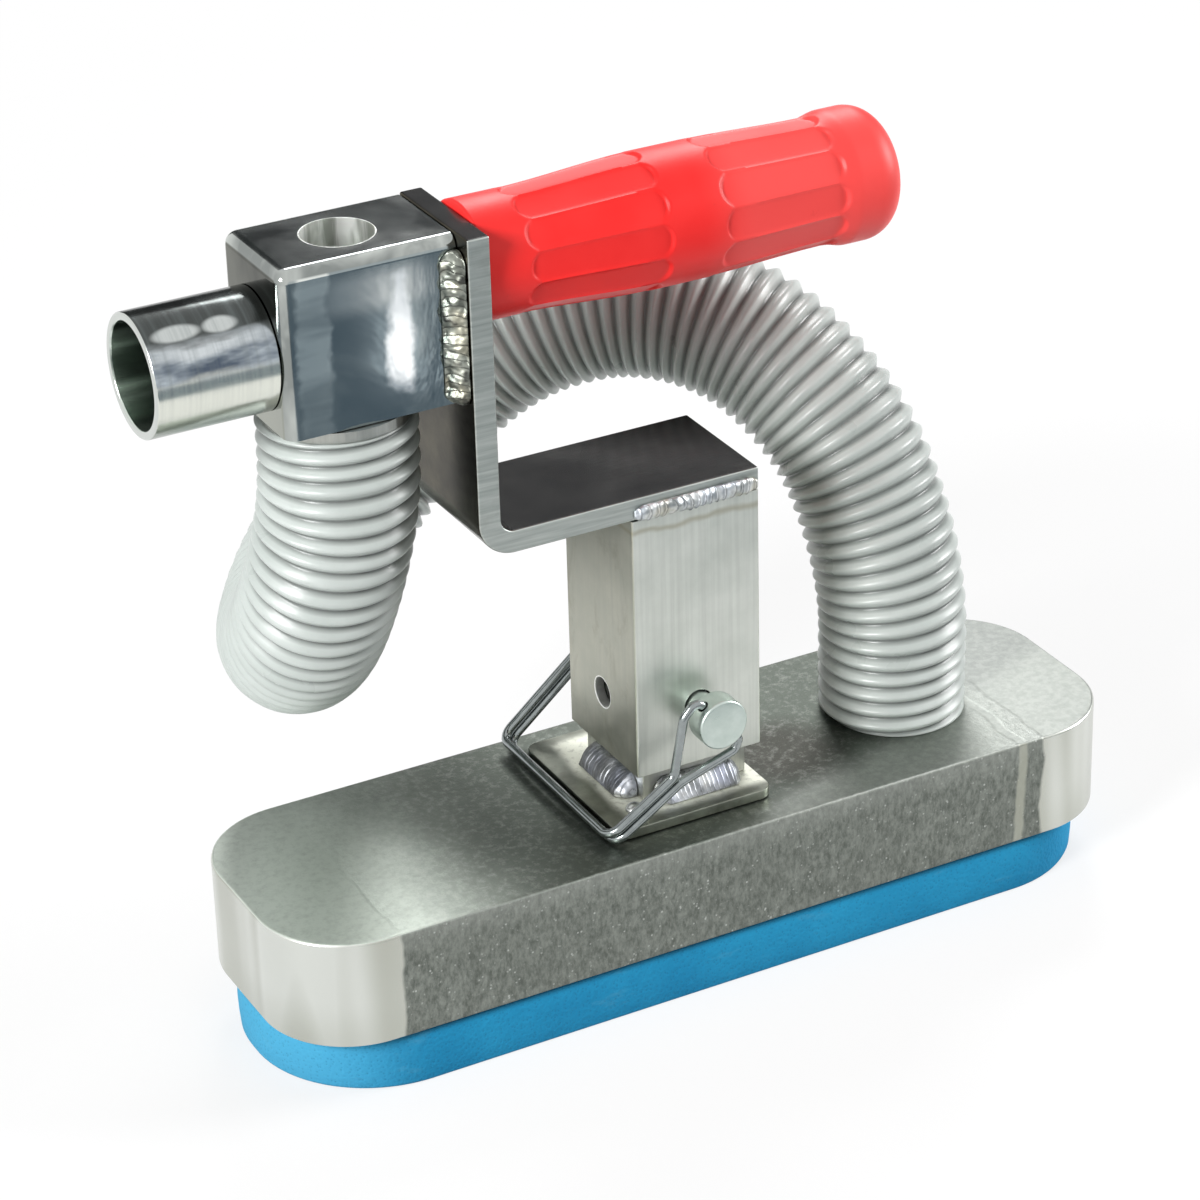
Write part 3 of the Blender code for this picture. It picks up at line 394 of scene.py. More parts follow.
class Field:
    """A node's output, as a number or colour that varies over a surface and can be used in sums."""

    def __init__(self, socket):
        self.socket = socket
        self.tree = socket.id_data

    def sum(self, operation, other=0.0):
        node = add_node(self.tree, "ShaderNodeMath", {0: self, 1: other}, operation=operation)
        return Field(node.outputs[0])

    def __add__(self, other):
        return self.sum("ADD", other)

    def __sub__(self, other):
        return self.sum("SUBTRACT", other)

    def __rsub__(self, other):
        return -self + other

    def __mul__(self, other):
        return self.sum("MULTIPLY", other)

    def __truediv__(self, other):
        return self.sum("DIVIDE", other)

    def __pow__(self, other):
        return self.sum("POWER", other)

    def __abs__(self):
        return self.sum("ABSOLUTE")

    def __neg__(self):
        return self * -1.0

    def root(self):
        return self.sum("SQRT")

    def largest(self, other):
        return self.sum("MAXIMUM", other)

    def levels(self, low, high, to_low=0.0, to_high=1.0, kind="LINEAR"):
        inputs = {0: self, 1: low, 2: high, 3: to_low, 4: to_high}
        node = add_node(self.tree, "ShaderNodeMapRange", inputs, interpolation_type=kind)
        return Field(node.outputs[0])

    def soft(self, low, high, to_low=0.0, to_high=1.0):
        return self.levels(low, high, to_low, to_high, "SMOOTHSTEP")

    def band(self, low, high, blur):
        """1 between low and high, falling off over blur on both sides."""
        return self.soft(low - blur, low + blur) * self.soft(high - blur, high + blur, 1.0, 0.0)

    def blend(self, first, second):
        """The first colour where this number is 0, the second where it is 1."""
        first, second = (value if isinstance(value, Field) else (*value, 1.0) for value in (first, second))
        node = add_node(self.tree, "ShaderNodeMix", {0: self, 6: first, 7: second}, data_type="RGBA")
        return Field(node.outputs[2])


def distance(a, a_middle, b, b_middle):
    """How far a place lies from an axis, counted in the two directions square to it."""
    return (abs(a - a_middle) ** 2.0 + abs(b - b_middle) ** 2.0).root()


class Paint:
    """A material: its principled shader and the patterns that its colours are blended by."""

    def __init__(self, name, roughness, metallic, specular=0.5):
        self.material = bpy.data.materials.new(name)
        self.material.use_nodes = True
        self.tree = self.material.node_tree
        self.shader = self.tree.nodes["Principled BSDF"]
        self.shader.inputs["Roughness"].default_value = roughness
        self.shader.inputs["Metallic"].default_value = metallic
        self.shader.inputs["Specular IOR Level"].default_value = specular

    def output(self, kind, name, inputs=None, **settings):
        return Field(add_node(self.tree, kind, inputs, **settings).outputs[name])

    def axes(self, vector):
        split = add_node(self.tree, "ShaderNodeSeparateXYZ", {0: vector})
        return [Field(socket) for socket in split.outputs]

    def place(self):
        return self.axes(self.output("ShaderNodeTexCoord", "Object"))

    def facing(self):
        return self.axes(self.output("ShaderNodeNewGeometry", "Normal"))

    def mapped(self, stretch, offset=(0, 0, 0)):
        inputs = {"Vector": self.output("ShaderNodeTexCoord", "Object"), "Scale": stretch, "Location": offset}
        return self.output("ShaderNodeMapping", "Vector", inputs)

    def cloud(self, scale, detail=4.0, roughness=0.55, stretch=(1, 1, 1), offset=(0, 0, 0), bend=0.0):
        inputs = {
            "Vector": self.mapped(stretch, offset), "Scale": scale, "Detail": detail,
            "Roughness": roughness, "Distortion": bend,
        }
        return self.output("ShaderNodeTexNoise", "Fac", inputs)

    def spots(self, scale):
        inputs = {"Vector": self.mapped((1, 1, 1)), "Scale": scale}
        return self.output("ShaderNodeTexVoronoi", "Distance", inputs)

    def hollow(self):
        """How deep in a groove a point lies, from 0 to 1, as its mesh says."""
        return self.output("ShaderNodeAttribute", "Fac", attribute_name="hollow")

    def finished(self, colour, roughness, height, strength, depth):
        """The material with its colour, its roughness where it varies, and a bump from a height."""
        inputs = {"Height": height, "Strength": strength, "Distance": depth}
        normal = self.output("ShaderNodeBump", "Normal", inputs)
        for name, value in (("Base Color", colour), ("Roughness", roughness), ("Normal", normal)):
            if value:
                self.tree.links.new(value.socket, self.shader.inputs[name])
        return self.material


def grey(level):
    return (level, level, level)


def foot_top(paint, x, y, blotch):
    """The rolled top: painted light at the left and the right, pale at the front edge, and a painted dark
    reflection beside the post.
    """
    dark_x, dark_y, dark_inner, dark_outer = 0.040, -0.008, 0.009, 0.025
    fine = paint.cloud(420, 4, 0.75)
    wide = paint.cloud(14, 4, 0.55)
    patches = blotch.levels(0, 1, -0.008, 0.008)
    # painted light: the left and right parts of the top are painted paler
    left = (x + wide.levels(0, 1, -0.02, 0.02)).soft(-0.108, -0.050)
    top = left.blend((0.70, 0.76, 0.69), (0.130, 0.147, 0.127))
    right = (x + wide.levels(0, 1, -0.015, 0.015)).soft(0.085, 0.118)
    top = right.blend(top, (0.39, 0.41, 0.39))
    rim = (y + patches + x * -0.35).soft(-0.036, -0.050, 0.0, 0.55)
    top = rim.blend(top, (0.56, 0.59, 0.55))
    # painted reflection: a dark patch beside the post stands in for the hose and post mirrored in the top
    beside = distance(x + patches, dark_x, y, dark_y).soft(dark_inner, dark_outer, 0.88, 0.0)
    top = beside.blend(top, (0.060, 0.058, 0.050))
    top = fine.levels(0.42, 0.72, 0.0, 0.22).blend(top, (0.06, 0.07, 0.06))
    return fine.levels(0.50, 0.30, 0.0, 0.22).blend(top, (0.60, 0.62, 0.58))


def foot_material():
    """Blasted aluminium with painted glints on its grains, painted light along the top of its sides, bright
    ground ends, and a dull mottled rolled top.
    """
    paint = Paint("foot aluminium", 0.45, 1.0)
    ground_from, ground_full = 0.1035, 0.1045
    streak_left, streak_right = 0.1030, 0.1062
    x, y, z = paint.place()
    up = paint.facing()[2].soft(0.55, 0.9)
    grain = paint.cloud(640, 4, 0.75, (1, 1, 0.5))
    blotch = paint.cloud(28, 5, 0.6)
    side = grain.levels(0.34, 0.66).blend((0.125, 0.138, 0.122), (0.275, 0.294, 0.266))
    side = blotch.levels(0.35, 0.75, 0.0, 0.30).blend(side, (0.12, 0.13, 0.115))
    # painted glints: bright sparkle spots painted into the side's colour
    glints = paint.spots(700).levels(0.10, 0.30, 1.0, 0.0) * paint.cloud(300, 3).levels(0.50, 0.62)
    side = (glints * 0.6).blend(side, (0.66, 0.68, 0.65))
    # painted light: the upper part of the side is painted lighter
    side = (z.soft(FOOT_TOP - 0.010, FOOT_TOP) * 0.30).blend(side, (0.42, 0.44, 0.41))
    wobble = (paint.cloud(60, 2) - 0.5) * 0.006
    streak = (x + wobble).band(streak_left, streak_right, 0.0006)
    ground = (abs(x - SHIFT.x) + wobble).levels(ground_from, ground_full).largest(streak * 0.8)
    brush = paint.cloud(34, 2, 0.4, (1, 1, 0.12), bend=0.4)
    bright = brush.levels(0.40, 0.58).blend((0.38, 0.39, 0.33), (0.68, 0.70, 0.66))
    bright = z.soft(FOOT_BOTTOM, FOOT_BOTTOM + 0.016, 0.35, 0.0).blend(bright, (0.42, 0.43, 0.37))
    colour = up.blend(ground.blend(side, bright), foot_top(paint, x, y, blotch))
    rough = up.blend(ground.blend(grey(0.62), grey(0.24)), grey(0.40))
    return paint.finished(colour, rough, grain * (1.0 - ground), 0.5, 0.0003)


def seal_material():
    """Fine-celled blue sponge rubber with small pores, paler where it was cut and rubbed, with painted light
    on its left end and a painted shadow under the foot's edge.
    """
    paint = Paint("blue sponge rubber", 0.82, 0.0, 0.3)
    x, _, z = paint.place()
    pores = paint.spots(900)
    soft = paint.cloud(30, 4, 0.6)
    colour = soft.levels(0.35, 0.7).blend((0.010, 0.275, 0.530), (0.020, 0.355, 0.640))
    # painted light: the left end of the seal is painted paler
    colour = (x.soft(-0.085, -0.125) * 0.55).blend(colour, (0.12, 0.48, 0.70))
    colour = pores.levels(0.05, 0.35, 0.40, 0.0).blend(colour, (0.008, 0.12, 0.26))
    rubbed = paint.cloud(160, 4, 0.7, (0.3, 0.3, 1))
    colour = rubbed.levels(0.60, 0.80, 0.0, 0.40).blend(colour, (0.14, 0.43, 0.60))
    # painted shadow: the top of the seal, under the foot's edge, is painted dark
    shade = z.soft(FOOT_BOTTOM - 0.0030, FOOT_BOTTOM - 0.0006)
    colour = (shade * 0.6).blend(colour, (0.008, 0.08, 0.16))
    return paint.finished(colour, None, pores, 0.35, 0.0004)


def inner_material():
    """Drawn aluminium: fine upright lines, soft clouds and a few dull smears."""
    paint = Paint("inner aluminium", 0.35, 1.0)
    dark = (0.38, 0.39, 0.36)
    lines = paint.cloud(900, 4, 0.65, (1, 1, 0.02))
    clouds = paint.cloud(45, 5, 0.6)
    smear = paint.cloud(22, 3, 0.5, (1, 1, 0.35), bend=0.6)
    colour = clouds.levels(0.30, 0.72).blend(dark, (0.55, 0.56, 0.53))
    colour = lines.levels(0.35, 0.75, 0.0, 0.5).blend(colour, (0.2736, 0.2808, 0.2592))
    colour = smear.levels(0.56, 0.72, 0.0, 0.45).blend(colour, dark)
    return paint.finished(colour, clouds.levels(0.3, 0.7, 0.2975, 0.42), lines, 0.10, 0.0002)


def post_material():
    """The post: pale mill finish in front, sides painted darker and yellower as painted shade, heat tint
    under its weld, and a cross bore painted bright.
    """
    paint = Paint("post aluminium", 0.38, 1.0)
    _, y, z = paint.place()
    lines = paint.cloud(700, 4, 0.6, (1, 1, 0.02))
    clouds = paint.cloud(50, 5, 0.62)
    stain = paint.cloud(75, 6, 0.7, (1, 1, 0.6), bend=0.8)
    # painted shade: faces turned to the front get the paler copy of the finish, faces turned sideways a
    # darker, yellower copy
    front = clouds.levels(0.3, 0.7).blend((0.56, 0.59, 0.54), (0.70, 0.72, 0.67))
    side = clouds.levels(0.3, 0.7).blend((0.36, 0.37, 0.31), (0.50, 0.50, 0.43))
    side = stain.levels(0.55, 0.75, 0.0, 0.55).blend(side, (0.22, 0.20, 0.14))
    colour = abs(paint.facing()[0]).soft(0.3, 0.8).blend(front, side)
    colour = lines.levels(0.4, 0.75, 0.0, 0.25).blend(colour, (0.30, 0.31, 0.29))
    wave = (paint.cloud(90, 2) - 0.5) * 0.004
    heat = (z + wave).band(TUBE_TOP - 0.0048, TUBE_TOP - 0.0034, 0.0008)
    colour = (heat * 0.55).blend(colour, (0.33, 0.30, 0.20))
    # painted highlight: the cross bore's wall is painted near white, standing in for glints in the hole
    from_pin = (y ** 2.0 + (z - PIN_Z) ** 2.0).root()
    bore = from_pin.levels(DRILL_RADIUS + 0.0003, DRILL_RADIUS + 0.0005, 1.0, 0.0)
    colour = bore.blend(colour, (0.95, 0.96, 0.93))
    return paint.finished(colour, clouds.levels(0.3, 0.7, 0.32, 0.46), lines, 0.08, 0.0002)


def plate_material():
    """The plate: grey-green, with a frosted pale halo that the welding left around the stub."""
    paint = Paint("plate aluminium", 0.38, 1.0)
    x, y, _ = paint.place()
    clouds = paint.cloud(90, 5, 0.65)
    fine = paint.cloud(500, 4, 0.7)
    reach = abs(x - SHIFT.x).largest(abs(y)) + clouds.levels(0, 1, -0.003, 0.003)
    edge = STUB_SIZE / 2 + STUB_BEAD
    halo = reach.soft(edge, edge + 0.0042, 1.0, 0.0)
    colour = clouds.levels(0.3, 0.7).blend((0.23, 0.24, 0.205), (0.45, 0.47, 0.405))
    colour = halo.blend(colour, (0.80, 0.81, 0.72))
    colour = fine.levels(0.52, 0.74, 0.0, 0.5).blend(colour, (0.24, 0.24, 0.20))
    return paint.finished(colour, halo.blend(grey(0.32), grey(0.60)), fine, 0.12, 0.0002)


def bar_material():
    """Flat bar: rolled faces painted nearly black as a painted dark reflection, browner beside the block, and
    pale, finely ground edges.
    """
    paint = Paint("bar aluminium", 0.28, 1.0)
    turn_x, turn_y, _ = paint.facing()
    clouds = paint.cloud(55, 5, 0.65)
    lines = paint.cloud(500, 3, 0.6, (0.03, 1, 1))
    cuts = paint.cloud(900, 3, 0.6, (0.05, 1, 1))
    # painted reflection: the rolled faces are painted nearly black, standing in for the dark surroundings
    # they mirror
    face = clouds.levels(0.32, 0.70).blend((0.022, 0.022, 0.023), (0.058, 0.057, 0.056))
    face = lines.levels(0.45, 0.75, 0.0, 0.4).blend(face, (0.024, 0.023, 0.022))
    brown = clouds.levels(0.35, 0.68).blend((0.024, 0.020, 0.011), (0.080, 0.071, 0.046))
    face = (-turn_x).soft(0.3, 0.8).blend(face, brown)
    edge = cuts.levels(0.3, 0.7).blend((0.34, 0.37, 0.35), (0.52, 0.55, 0.52))
    edge = clouds.levels(0.55, 0.75, 0.0, 0.5).blend(edge, (0.26, 0.27, 0.24))
    side = abs(turn_y).soft(0.35, 0.8)
    return paint.finished(side.blend(face, edge), side.blend(grey(0.20), grey(0.42)), cuts, 0.12, 0.0002)


def block_front(paint, x, z, clouds, wave):
    """The block's front: a dark mirror with a pale strip painted as the hose's reflection, painted light
    along its top, and one bright streak painted as a reflection.
    """
    strip_left, strip_right, streak_x = -0.1040, -0.0950, -0.0750
    colour = clouds.levels(0.36, 0.66).blend((0.25, 0.30, 0.32), (0.40, 0.44, 0.43))
    # painted reflection: a pale strip, stepped like the hose's ribs, stands in for the hose mirrored in the
    # front
    steps = paint.cloud(160, 2, 0.5, (0.2, 0.2, 1)).levels(0.40, 0.60, 0.45, 0.95)
    steps = steps * z.soft(0.192, 0.206, 0.35, 1.0)
    strip = (x + wave).band(strip_left, strip_right, 0.0010)
    colour = (strip * steps).blend(colour, (0.84, 0.87, 0.83))
    # painted light: a pale patch along the top of the front
    top_painted_light = z.band(0.2215, 0.2310, 0.003) * x.band(-0.096, -0.066, 0.006)
    colour = (top_painted_light * 0.65).blend(colour, (0.78, 0.79, 0.76))
    # painted reflection: one bright upright streak, standing in for a strip light mirrored in the front
    half = z.soft(0.2040, 0.2300, 0.0040, 0.0020)
    streak = (abs(x + wave - streak_x) - half).soft(-0.0016, 0.0012, 1.0, 0.0)
    streak = streak * (z + wave).band(0.1965, 0.2290, 0.0015)
    return streak.blend(colour, (0.90, 0.92, 0.92))


def block_material():
    """Polished block, coloured face by face as painted reflection: dark mirrors in front and at the left, a
    paler top, painted highlights on its rounded edges, and bores painted bright.
    """
    paint = Paint("polished block", 0.12, 1.0)
    x, y, z = paint.place()
    turn_x, turn_y, turn_z = paint.facing()
    clouds = paint.cloud(42, 4, 0.55, (1, 1, 0.6), bend=0.5)
    wave = paint.cloud(130, 3, 0.55).levels(0.0, 1.0, -0.0030, 0.0030)
    # painted reflection: each face direction gets its own colour, for what that face mirrors
    top = clouds.levels(0.38, 0.66).blend((0.27, 0.29, 0.29), (0.54, 0.56, 0.55))
    left = clouds.levels(0.36, 0.64).blend((0.050, 0.054, 0.044), (0.15, 0.155, 0.13))
    # painted reflection: the lower part of the left face is painted pale
    left = ((z + wave).soft(0.2230, 0.2120) * 0.75).blend(left, (0.40, 0.42, 0.37))
    # painted highlight: the rounded edges, and faces not given a colour below, are painted bright
    painted_rim_light = clouds.levels(0.42, 0.60).blend((0.26, 0.28, 0.27), (0.60, 0.63, 0.60))
    colour = (-turn_y).soft(0.93, 0.985).blend(painted_rim_light, block_front(paint, x, z, clouds, wave))
    colour = turn_z.soft(0.90, 0.98).blend(colour, top)
    colour = (-turn_x).soft(0.93, 0.985).blend(colour, left)
    # the thumb bore's wall: bright machined metal, painted brighter still as painted light inside the bore
    wall = THUMB_BORE / 2
    bore = distance(x, BLOCK_X + SHIFT.x, y, BLOCK_Y).levels(wall + 0.0001, wall + 0.0004, 1.0, 0.0)
    bore = bore * z.levels(INLET_Z, INLET_Z + 0.002)
    swirl = paint.cloud(240, 3, 0.6, (1, 1, 0.12), bend=0.4)
    colour = bore.blend(colour, swirl.levels(0.42, 0.58).blend((0.50, 0.52, 0.48), (0.98, 0.99, 0.97)))
    rough = bore.blend(clouds.levels(0.3, 0.75).blend(grey(0.08), grey(0.16)), grey(0.42))
    return paint.finished(colour, rough, clouds, 0.05, 0.002)


def inlet_material():
    """Polished tube, coloured by which way it faces as a painted reflection: dark along its top, two oval
    painted highlights, blue-grey smears and a pale lower half.
    """
    paint = Paint("polished tube", 0.14, 1.0)
    x, y, z = paint.place()
    turn_x, turn_y, turn_z = paint.facing()
    rings = paint.cloud(500, 4, 0.65, (1, 0.02, 0.02))
    smear = paint.cloud(90, 4, 0.6, (0.35, 1, 1))
    # painted reflection: the colour bands follow which way the surface faces
    bent = turn_z + smear.levels(0.3, 0.7, -0.10, 0.10)
    low = bent.soft(-0.75, -0.35).blend((0.30, 0.33, 0.30), (0.74, 0.76, 0.69))
    middle = smear.levels(0.42, 0.60).blend((0.085, 0.110, 0.150), (0.50, 0.56, 0.60))
    colour = bent.soft(0.08, 0.24).blend(low, middle)
    pale = smear.levels(0.34, 0.60).blend((0.30, 0.34, 0.37), (0.62, 0.66, 0.68))
    colour = bent.soft(0.40, 0.54).blend(colour, pale)
    colour = bent.soft(0.62, 0.76).blend(colour, (0.075, 0.082, 0.080))
    # painted highlights: two pale oval patches on the tube's upper front
    around = (abs(turn_z - 0.80) / 0.085) ** 2.0
    highlight_ovals = 0.0
    oval_places = ((-0.1335, 0.0066), (-0.1215, 0.0048))
    for centre, reach in oval_places:
        along = (abs(x - centre) / reach) ** 2.0
        highlight_ovals = (along + around).soft(0.45, 1.35, 1.0, 0.0).largest(highlight_ovals)
    colour = (highlight_ovals * (-turn_y).levels(-0.2, 0.0)).blend(colour, (0.56, 0.59, 0.58))
    # dark turning rings, painted stronger towards the top as part of the painted reflection
    ring_marks_and_shade = bent.levels(-0.20, 0.20, 0.12, 0.40) * rings.levels(0.45, 0.75)
    colour = ring_marks_and_shade.blend(colour, (0.20, 0.23, 0.23))
    colour = (-turn_x).soft(0.3, 0.6).blend(colour, (0.62, 0.65, 0.62))
    wall = INLET_DIAMETER / 2 - INLET_WALL
    inside = distance(y, BLOCK_Y, z, INLET_Z).levels(wall + 0.0001, wall + 0.0004, 1.0, 0.0)
    bands = paint.cloud(110, 3, 0.5, (0.1, 1, 1)).levels(0.42, 0.60)
    colour = inside.blend(colour, bands.blend((0.20, 0.24, 0.21), (0.62, 0.68, 0.63)))
    return paint.finished(colour, smear.levels(0.3, 0.7, 0.12, 0.24), rings, 0.06, 0.0002)


def weld_material(name, dull, bright, tints, pits, left_shade=0.0):
    """Rippled weld metal, painted dark between its ripples as shade, with heat colours."""
    paint = Paint(name, 0.30, 1.0)
    clouds = paint.cloud(200, 3, 0.55)
    tint = paint.cloud(130, 3, 0.5, offset=(0.3, 0.1, 0.2))
    colour = clouds.levels(0.35, 0.65).blend(dull, bright)
    colour = tint.levels(0.50, 0.66, 0.0, 0.6).blend(colour, tints[0])
    colour = tint.levels(0.36, 0.46, 0.5, 0.0).blend(colour, tints[1])
    # painted shade: faces turned to the left are painted darker
    if left_shade:
        left = (-paint.facing()[0]).soft(0.2, 0.7) * left_shade
        colour = left.blend(colour, (0.12, 0.125, 0.13))
    # painted shade: hollows between ripples and low lumps are painted dark; pits sets how dark
    colour = paint.hollow().levels(0.45, 0.95, 0.0, pits).blend(colour, (0.035, 0.035, 0.034))
    return paint.finished(colour, clouds.levels(0.3, 0.7, 0.32, 0.52), clouds, 0.15, 0.0004)


def grip_material():
    """Moulded red plastic, painted paler towards its end as painted light, with a faint orange peel and
    dulled patches from hands.
    """
    paint = Paint("red grip plastic", 0.42, 0.0, 0.32)
    clouds = paint.cloud(40, 3, 0.5)
    dulled = paint.cloud(220, 4, 0.7).levels(0.66, 0.8, 0.0, 0.25)
    colour = clouds.levels(0.3, 0.7).blend((0.93, 0.020, 0.019), (1.00, 0.034, 0.031))
    # painted light: the end part of the grip is painted paler
    colour = (paint.place()[0].soft(0.012, 0.030) * 0.75).blend(colour, (1.00, 0.095, 0.088))
    colour = dulled.blend(colour, (0.62, 0.02, 0.015))
    rough = clouds.levels(0.3, 0.7, 0.36, 0.50)
    return paint.finished(colour, rough, paint.cloud(900, 2, 0.5), 0.06, 0.0003)


def hose_material():
    """Light grey hose plastic with painted shade in the grooves."""
    paint = Paint("hose plastic", 0.30, 0.0, 0.55)
    clouds = paint.cloud(60, 3, 0.5)
    fine = paint.cloud(700, 3, 0.6)
    colour = clouds.levels(0.3, 0.7).blend((0.50, 0.545, 0.52), (0.58, 0.625, 0.60))
    colour = fine.levels(0.55, 0.8, 0.0, 0.2).blend(colour, (0.44, 0.48, 0.46))
    # painted shade: the grooves are painted dark
    colour = paint.hollow().levels(0.42, 0.95, 0.0, 0.88).blend(colour, (0.10, 0.110, 0.105))
    return paint.finished(colour, clouds.levels(0.3, 0.7, 0.26, 0.36), fine, 0.05, 0.0002)


def zinc_material():
    """Zinc plating: pale, slightly green, with a cloudy passivation."""
    paint = Paint("zinc plating", 0.30, 1.0)
    clouds = paint.cloud(180, 4, 0.6)
    colour = clouds.levels(0.3, 0.7).blend((0.46, 0.54, 0.50), (0.60, 0.67, 0.63))
    rough = clouds.levels(0.3, 0.7, 0.26, 0.40)
    return paint.finished(colour, rough, paint.cloud(1200, 2), 0.05, 0.0002)


def steel_material(name, colour, roughness):
    """Bright drawn steel with darker handling marks."""
    paint = Paint(name, roughness, 1.0)
    marks = paint.cloud(260, 4, 0.6)
    marked = marks.levels(0.35, 0.7).blend(tuple(0.80 * c for c in colour), colour)
    rough = marks.levels(0.3, 0.7, roughness, roughness * 1.8)
    return paint.finished(marked, rough, marks, 0.05, 0.0002)


FOOT_METAL = foot_material()
SPONGE = seal_material()
POST_METAL = post_material()
BAR_METAL = bar_material()
BLOCK_METAL = block_material()
INLET_METAL = inlet_material()
STUB_WELD = weld_material(
    "stub weld", (0.20, 0.21, 0.22), (0.58, 0.60, 0.63), ((0.40, 0.43, 0.54), (0.36, 0.35, 0.31)), 0.62,
    left_shade=0.65,
)
BLOCK_WELD = weld_material(
    "block weld", (0.13, 0.14, 0.12), (0.36, 0.38, 0.335), ((0.30, 0.28, 0.21), (0.18, 0.20, 0.18)), 0.80
)
POST_WELD = weld_material(
    "post weld", (0.34, 0.36, 0.36), (0.72, 0.74, 0.74), ((0.44, 0.49, 0.56), (0.58, 0.55, 0.44)), 0.60
)
RED = grip_material()
HOSE_GREY = hose_material()
ZINC = zinc_material()
WIRE_STEEL = steel_material("bright wire", (0.33, 0.36, 0.36), 0.12)
RIVET_STEEL = steel_material("rivet steel", (0.70, 0.72, 0.70), 0.22)
PLATE_METAL = plate_material()
INNER_METAL = inner_material()


# Pieces

def make_camera():
    azimuth, elevation, roll = math.radians(-28.65), math.radians(27.07), math.radians(-1.16)
    distance, focal, frame_size = 1.1045, 3938.5, 1200
    centre_x, centre_y = 661.8, 555.8
    outward = Vector((
        math.sin(azimuth) * math.cos(elevation),
        -math.cos(azimuth) * math.cos(elevation),
        math.sin(elevation),
    ))
    right = Vector((math.cos(azimuth), math.sin(azimuth), 0))
    up = outward.cross(right)
    tilted_right = right * math.cos(roll) + up * math.sin(roll)
    tilted_up = up * math.cos(roll) - right * math.sin(roll)
    matrix = Matrix((tilted_right, tilted_up, outward)).transposed().to_4x4()
    matrix.translation = SHIFT + Vector((0, 0, 0.120)) + outward * distance
    data = bpy.data.cameras.new("camera")
    data.sensor_width = 36
    data.lens = focal / frame_size * data.sensor_width
    data.shift_x = (frame_size / 2 - centre_x) / frame_size
    data.shift_y = (centre_y - frame_size / 2) / frame_size
    data.clip_start = 0.01
    camera = linked("camera", data)
    camera.matrix_world = matrix
    bpy.context.scene.camera = camera


RIB_PITCH = 0.00495       # from one rib of the hose to the next
RIB_DEPTH = 0.0023
RIB_ROUND = 0.30          # how round a rib's crest is
RIB_SAMPLES = 12
HOSE_AROUND = 80
PATH_SPACING = 0.004


def rib_fall(phase):
    """How far the hose's wall lies inside its rib tips at a place between two grooves, from 0 to 1."""
    away = abs(phase - math.floor(phase) - 0.5) * 2
    return (math.hypot(away, RIB_ROUND) - RIB_ROUND) / (math.hypot(1.0, RIB_ROUND) - RIB_ROUND)


def make_hose():
    path = [point + SHIFT for point in smooth_route(HOSE_ROUTE, PATH_SPACING)]
    length = sum((b - a).length for a, b in zip(path, path[1:]))
    fine = evenly_spaced(path, RIB_PITCH / RIB_SAMPLES)
    smooth = []
    window = 6
    for k in range(len(fine)):
        reach = min(window, k, len(fine) - 1 - k)
        near = fine[k - reach:k + reach + 1]
        smooth.append(sum(near, Vector()) / len(near))
    tangents = []
    for k in range(len(smooth)):
        ahead, behind = smooth[min(k + 1, len(smooth) - 1)], smooth[max(k - 1, 0)]
        tangents.append((ahead - behind).normalized())
    side = Vector((1, 0, 0))
    rows, hollows = [], []
    for k, (centre, tangent) in enumerate(zip(smooth, tangents)):
        side = (side - tangent * side.dot(tangent)).normalized()
        other = tangent.cross(side)
        row, falls = [], []
        for turn in range(HOSE_AROUND):
            angle = 2 * math.pi * turn / HOSE_AROUND
            fall = rib_fall(k / RIB_SAMPLES - turn / HOSE_AROUND)
            radius = HOSE_DIAMETER / 2 - RIB_DEPTH * fall
            row.append(centre + (side * math.cos(angle) + other * math.sin(angle)) * radius)
            falls.append(fall)
        rows.append(row)
        hollows.append(falls)
    inner = SPIGOT_RADIUS + GAP
    first = [smooth[0] + (point - smooth[0]).normalized() * inner for point in rows[0]]
    last = [smooth[-1] + (point - smooth[-1]).normalized() * inner for point in rows[-1]]
    # the hose's ends, tucked against the spigots, get the full painted groove shade
    inside = [1.0] * HOSE_AROUND
    mesh = grid_mesh(
        "hose_skin", [first] + rows + [last], caps=False, hollows=[inside] + hollows + [inside]
    )
    piece = new_piece("hose_skin", mesh, HOSE_GREY, "hose", 0)


def make_foot():
    outline = rounded_rectangle(FOOT_LENGTH, FOOT_WIDTH, FOOT_CORNER, steps=28)
    height = FOOT_TOP - FOOT_BOTTOM
    body = extruded("foot_body", (outline,), height)
    pocket = extruded(
        "foot_pocket",
        (rounded_rectangle(
            FOOT_LENGTH - 2 * FOOT_RIM, FOOT_WIDTH - 2 * FOOT_RIM, SEAL_CORNER - FOOT_RIM, steps=12
        ),),
        2 * (height - FOOT_ROOF),
    )
    port = rod(NECK_BORE / 2, 4 * FOOT_ROOF)
    mesh = carved(
        "foot_skin", body,
        ((pocket, Matrix.Translation((0, 0, -height / 2))),
         (port, Matrix.Translation((PORT_X, 0, height / 2)))),
        FOOT_EDGE, 3,
    )
    placed(mesh, (0, 0, FOOT_BOTTOM + height / 2))
    levelled(new_piece("foot_skin", mesh, FOOT_METAL, "suction_foot", 30.0))


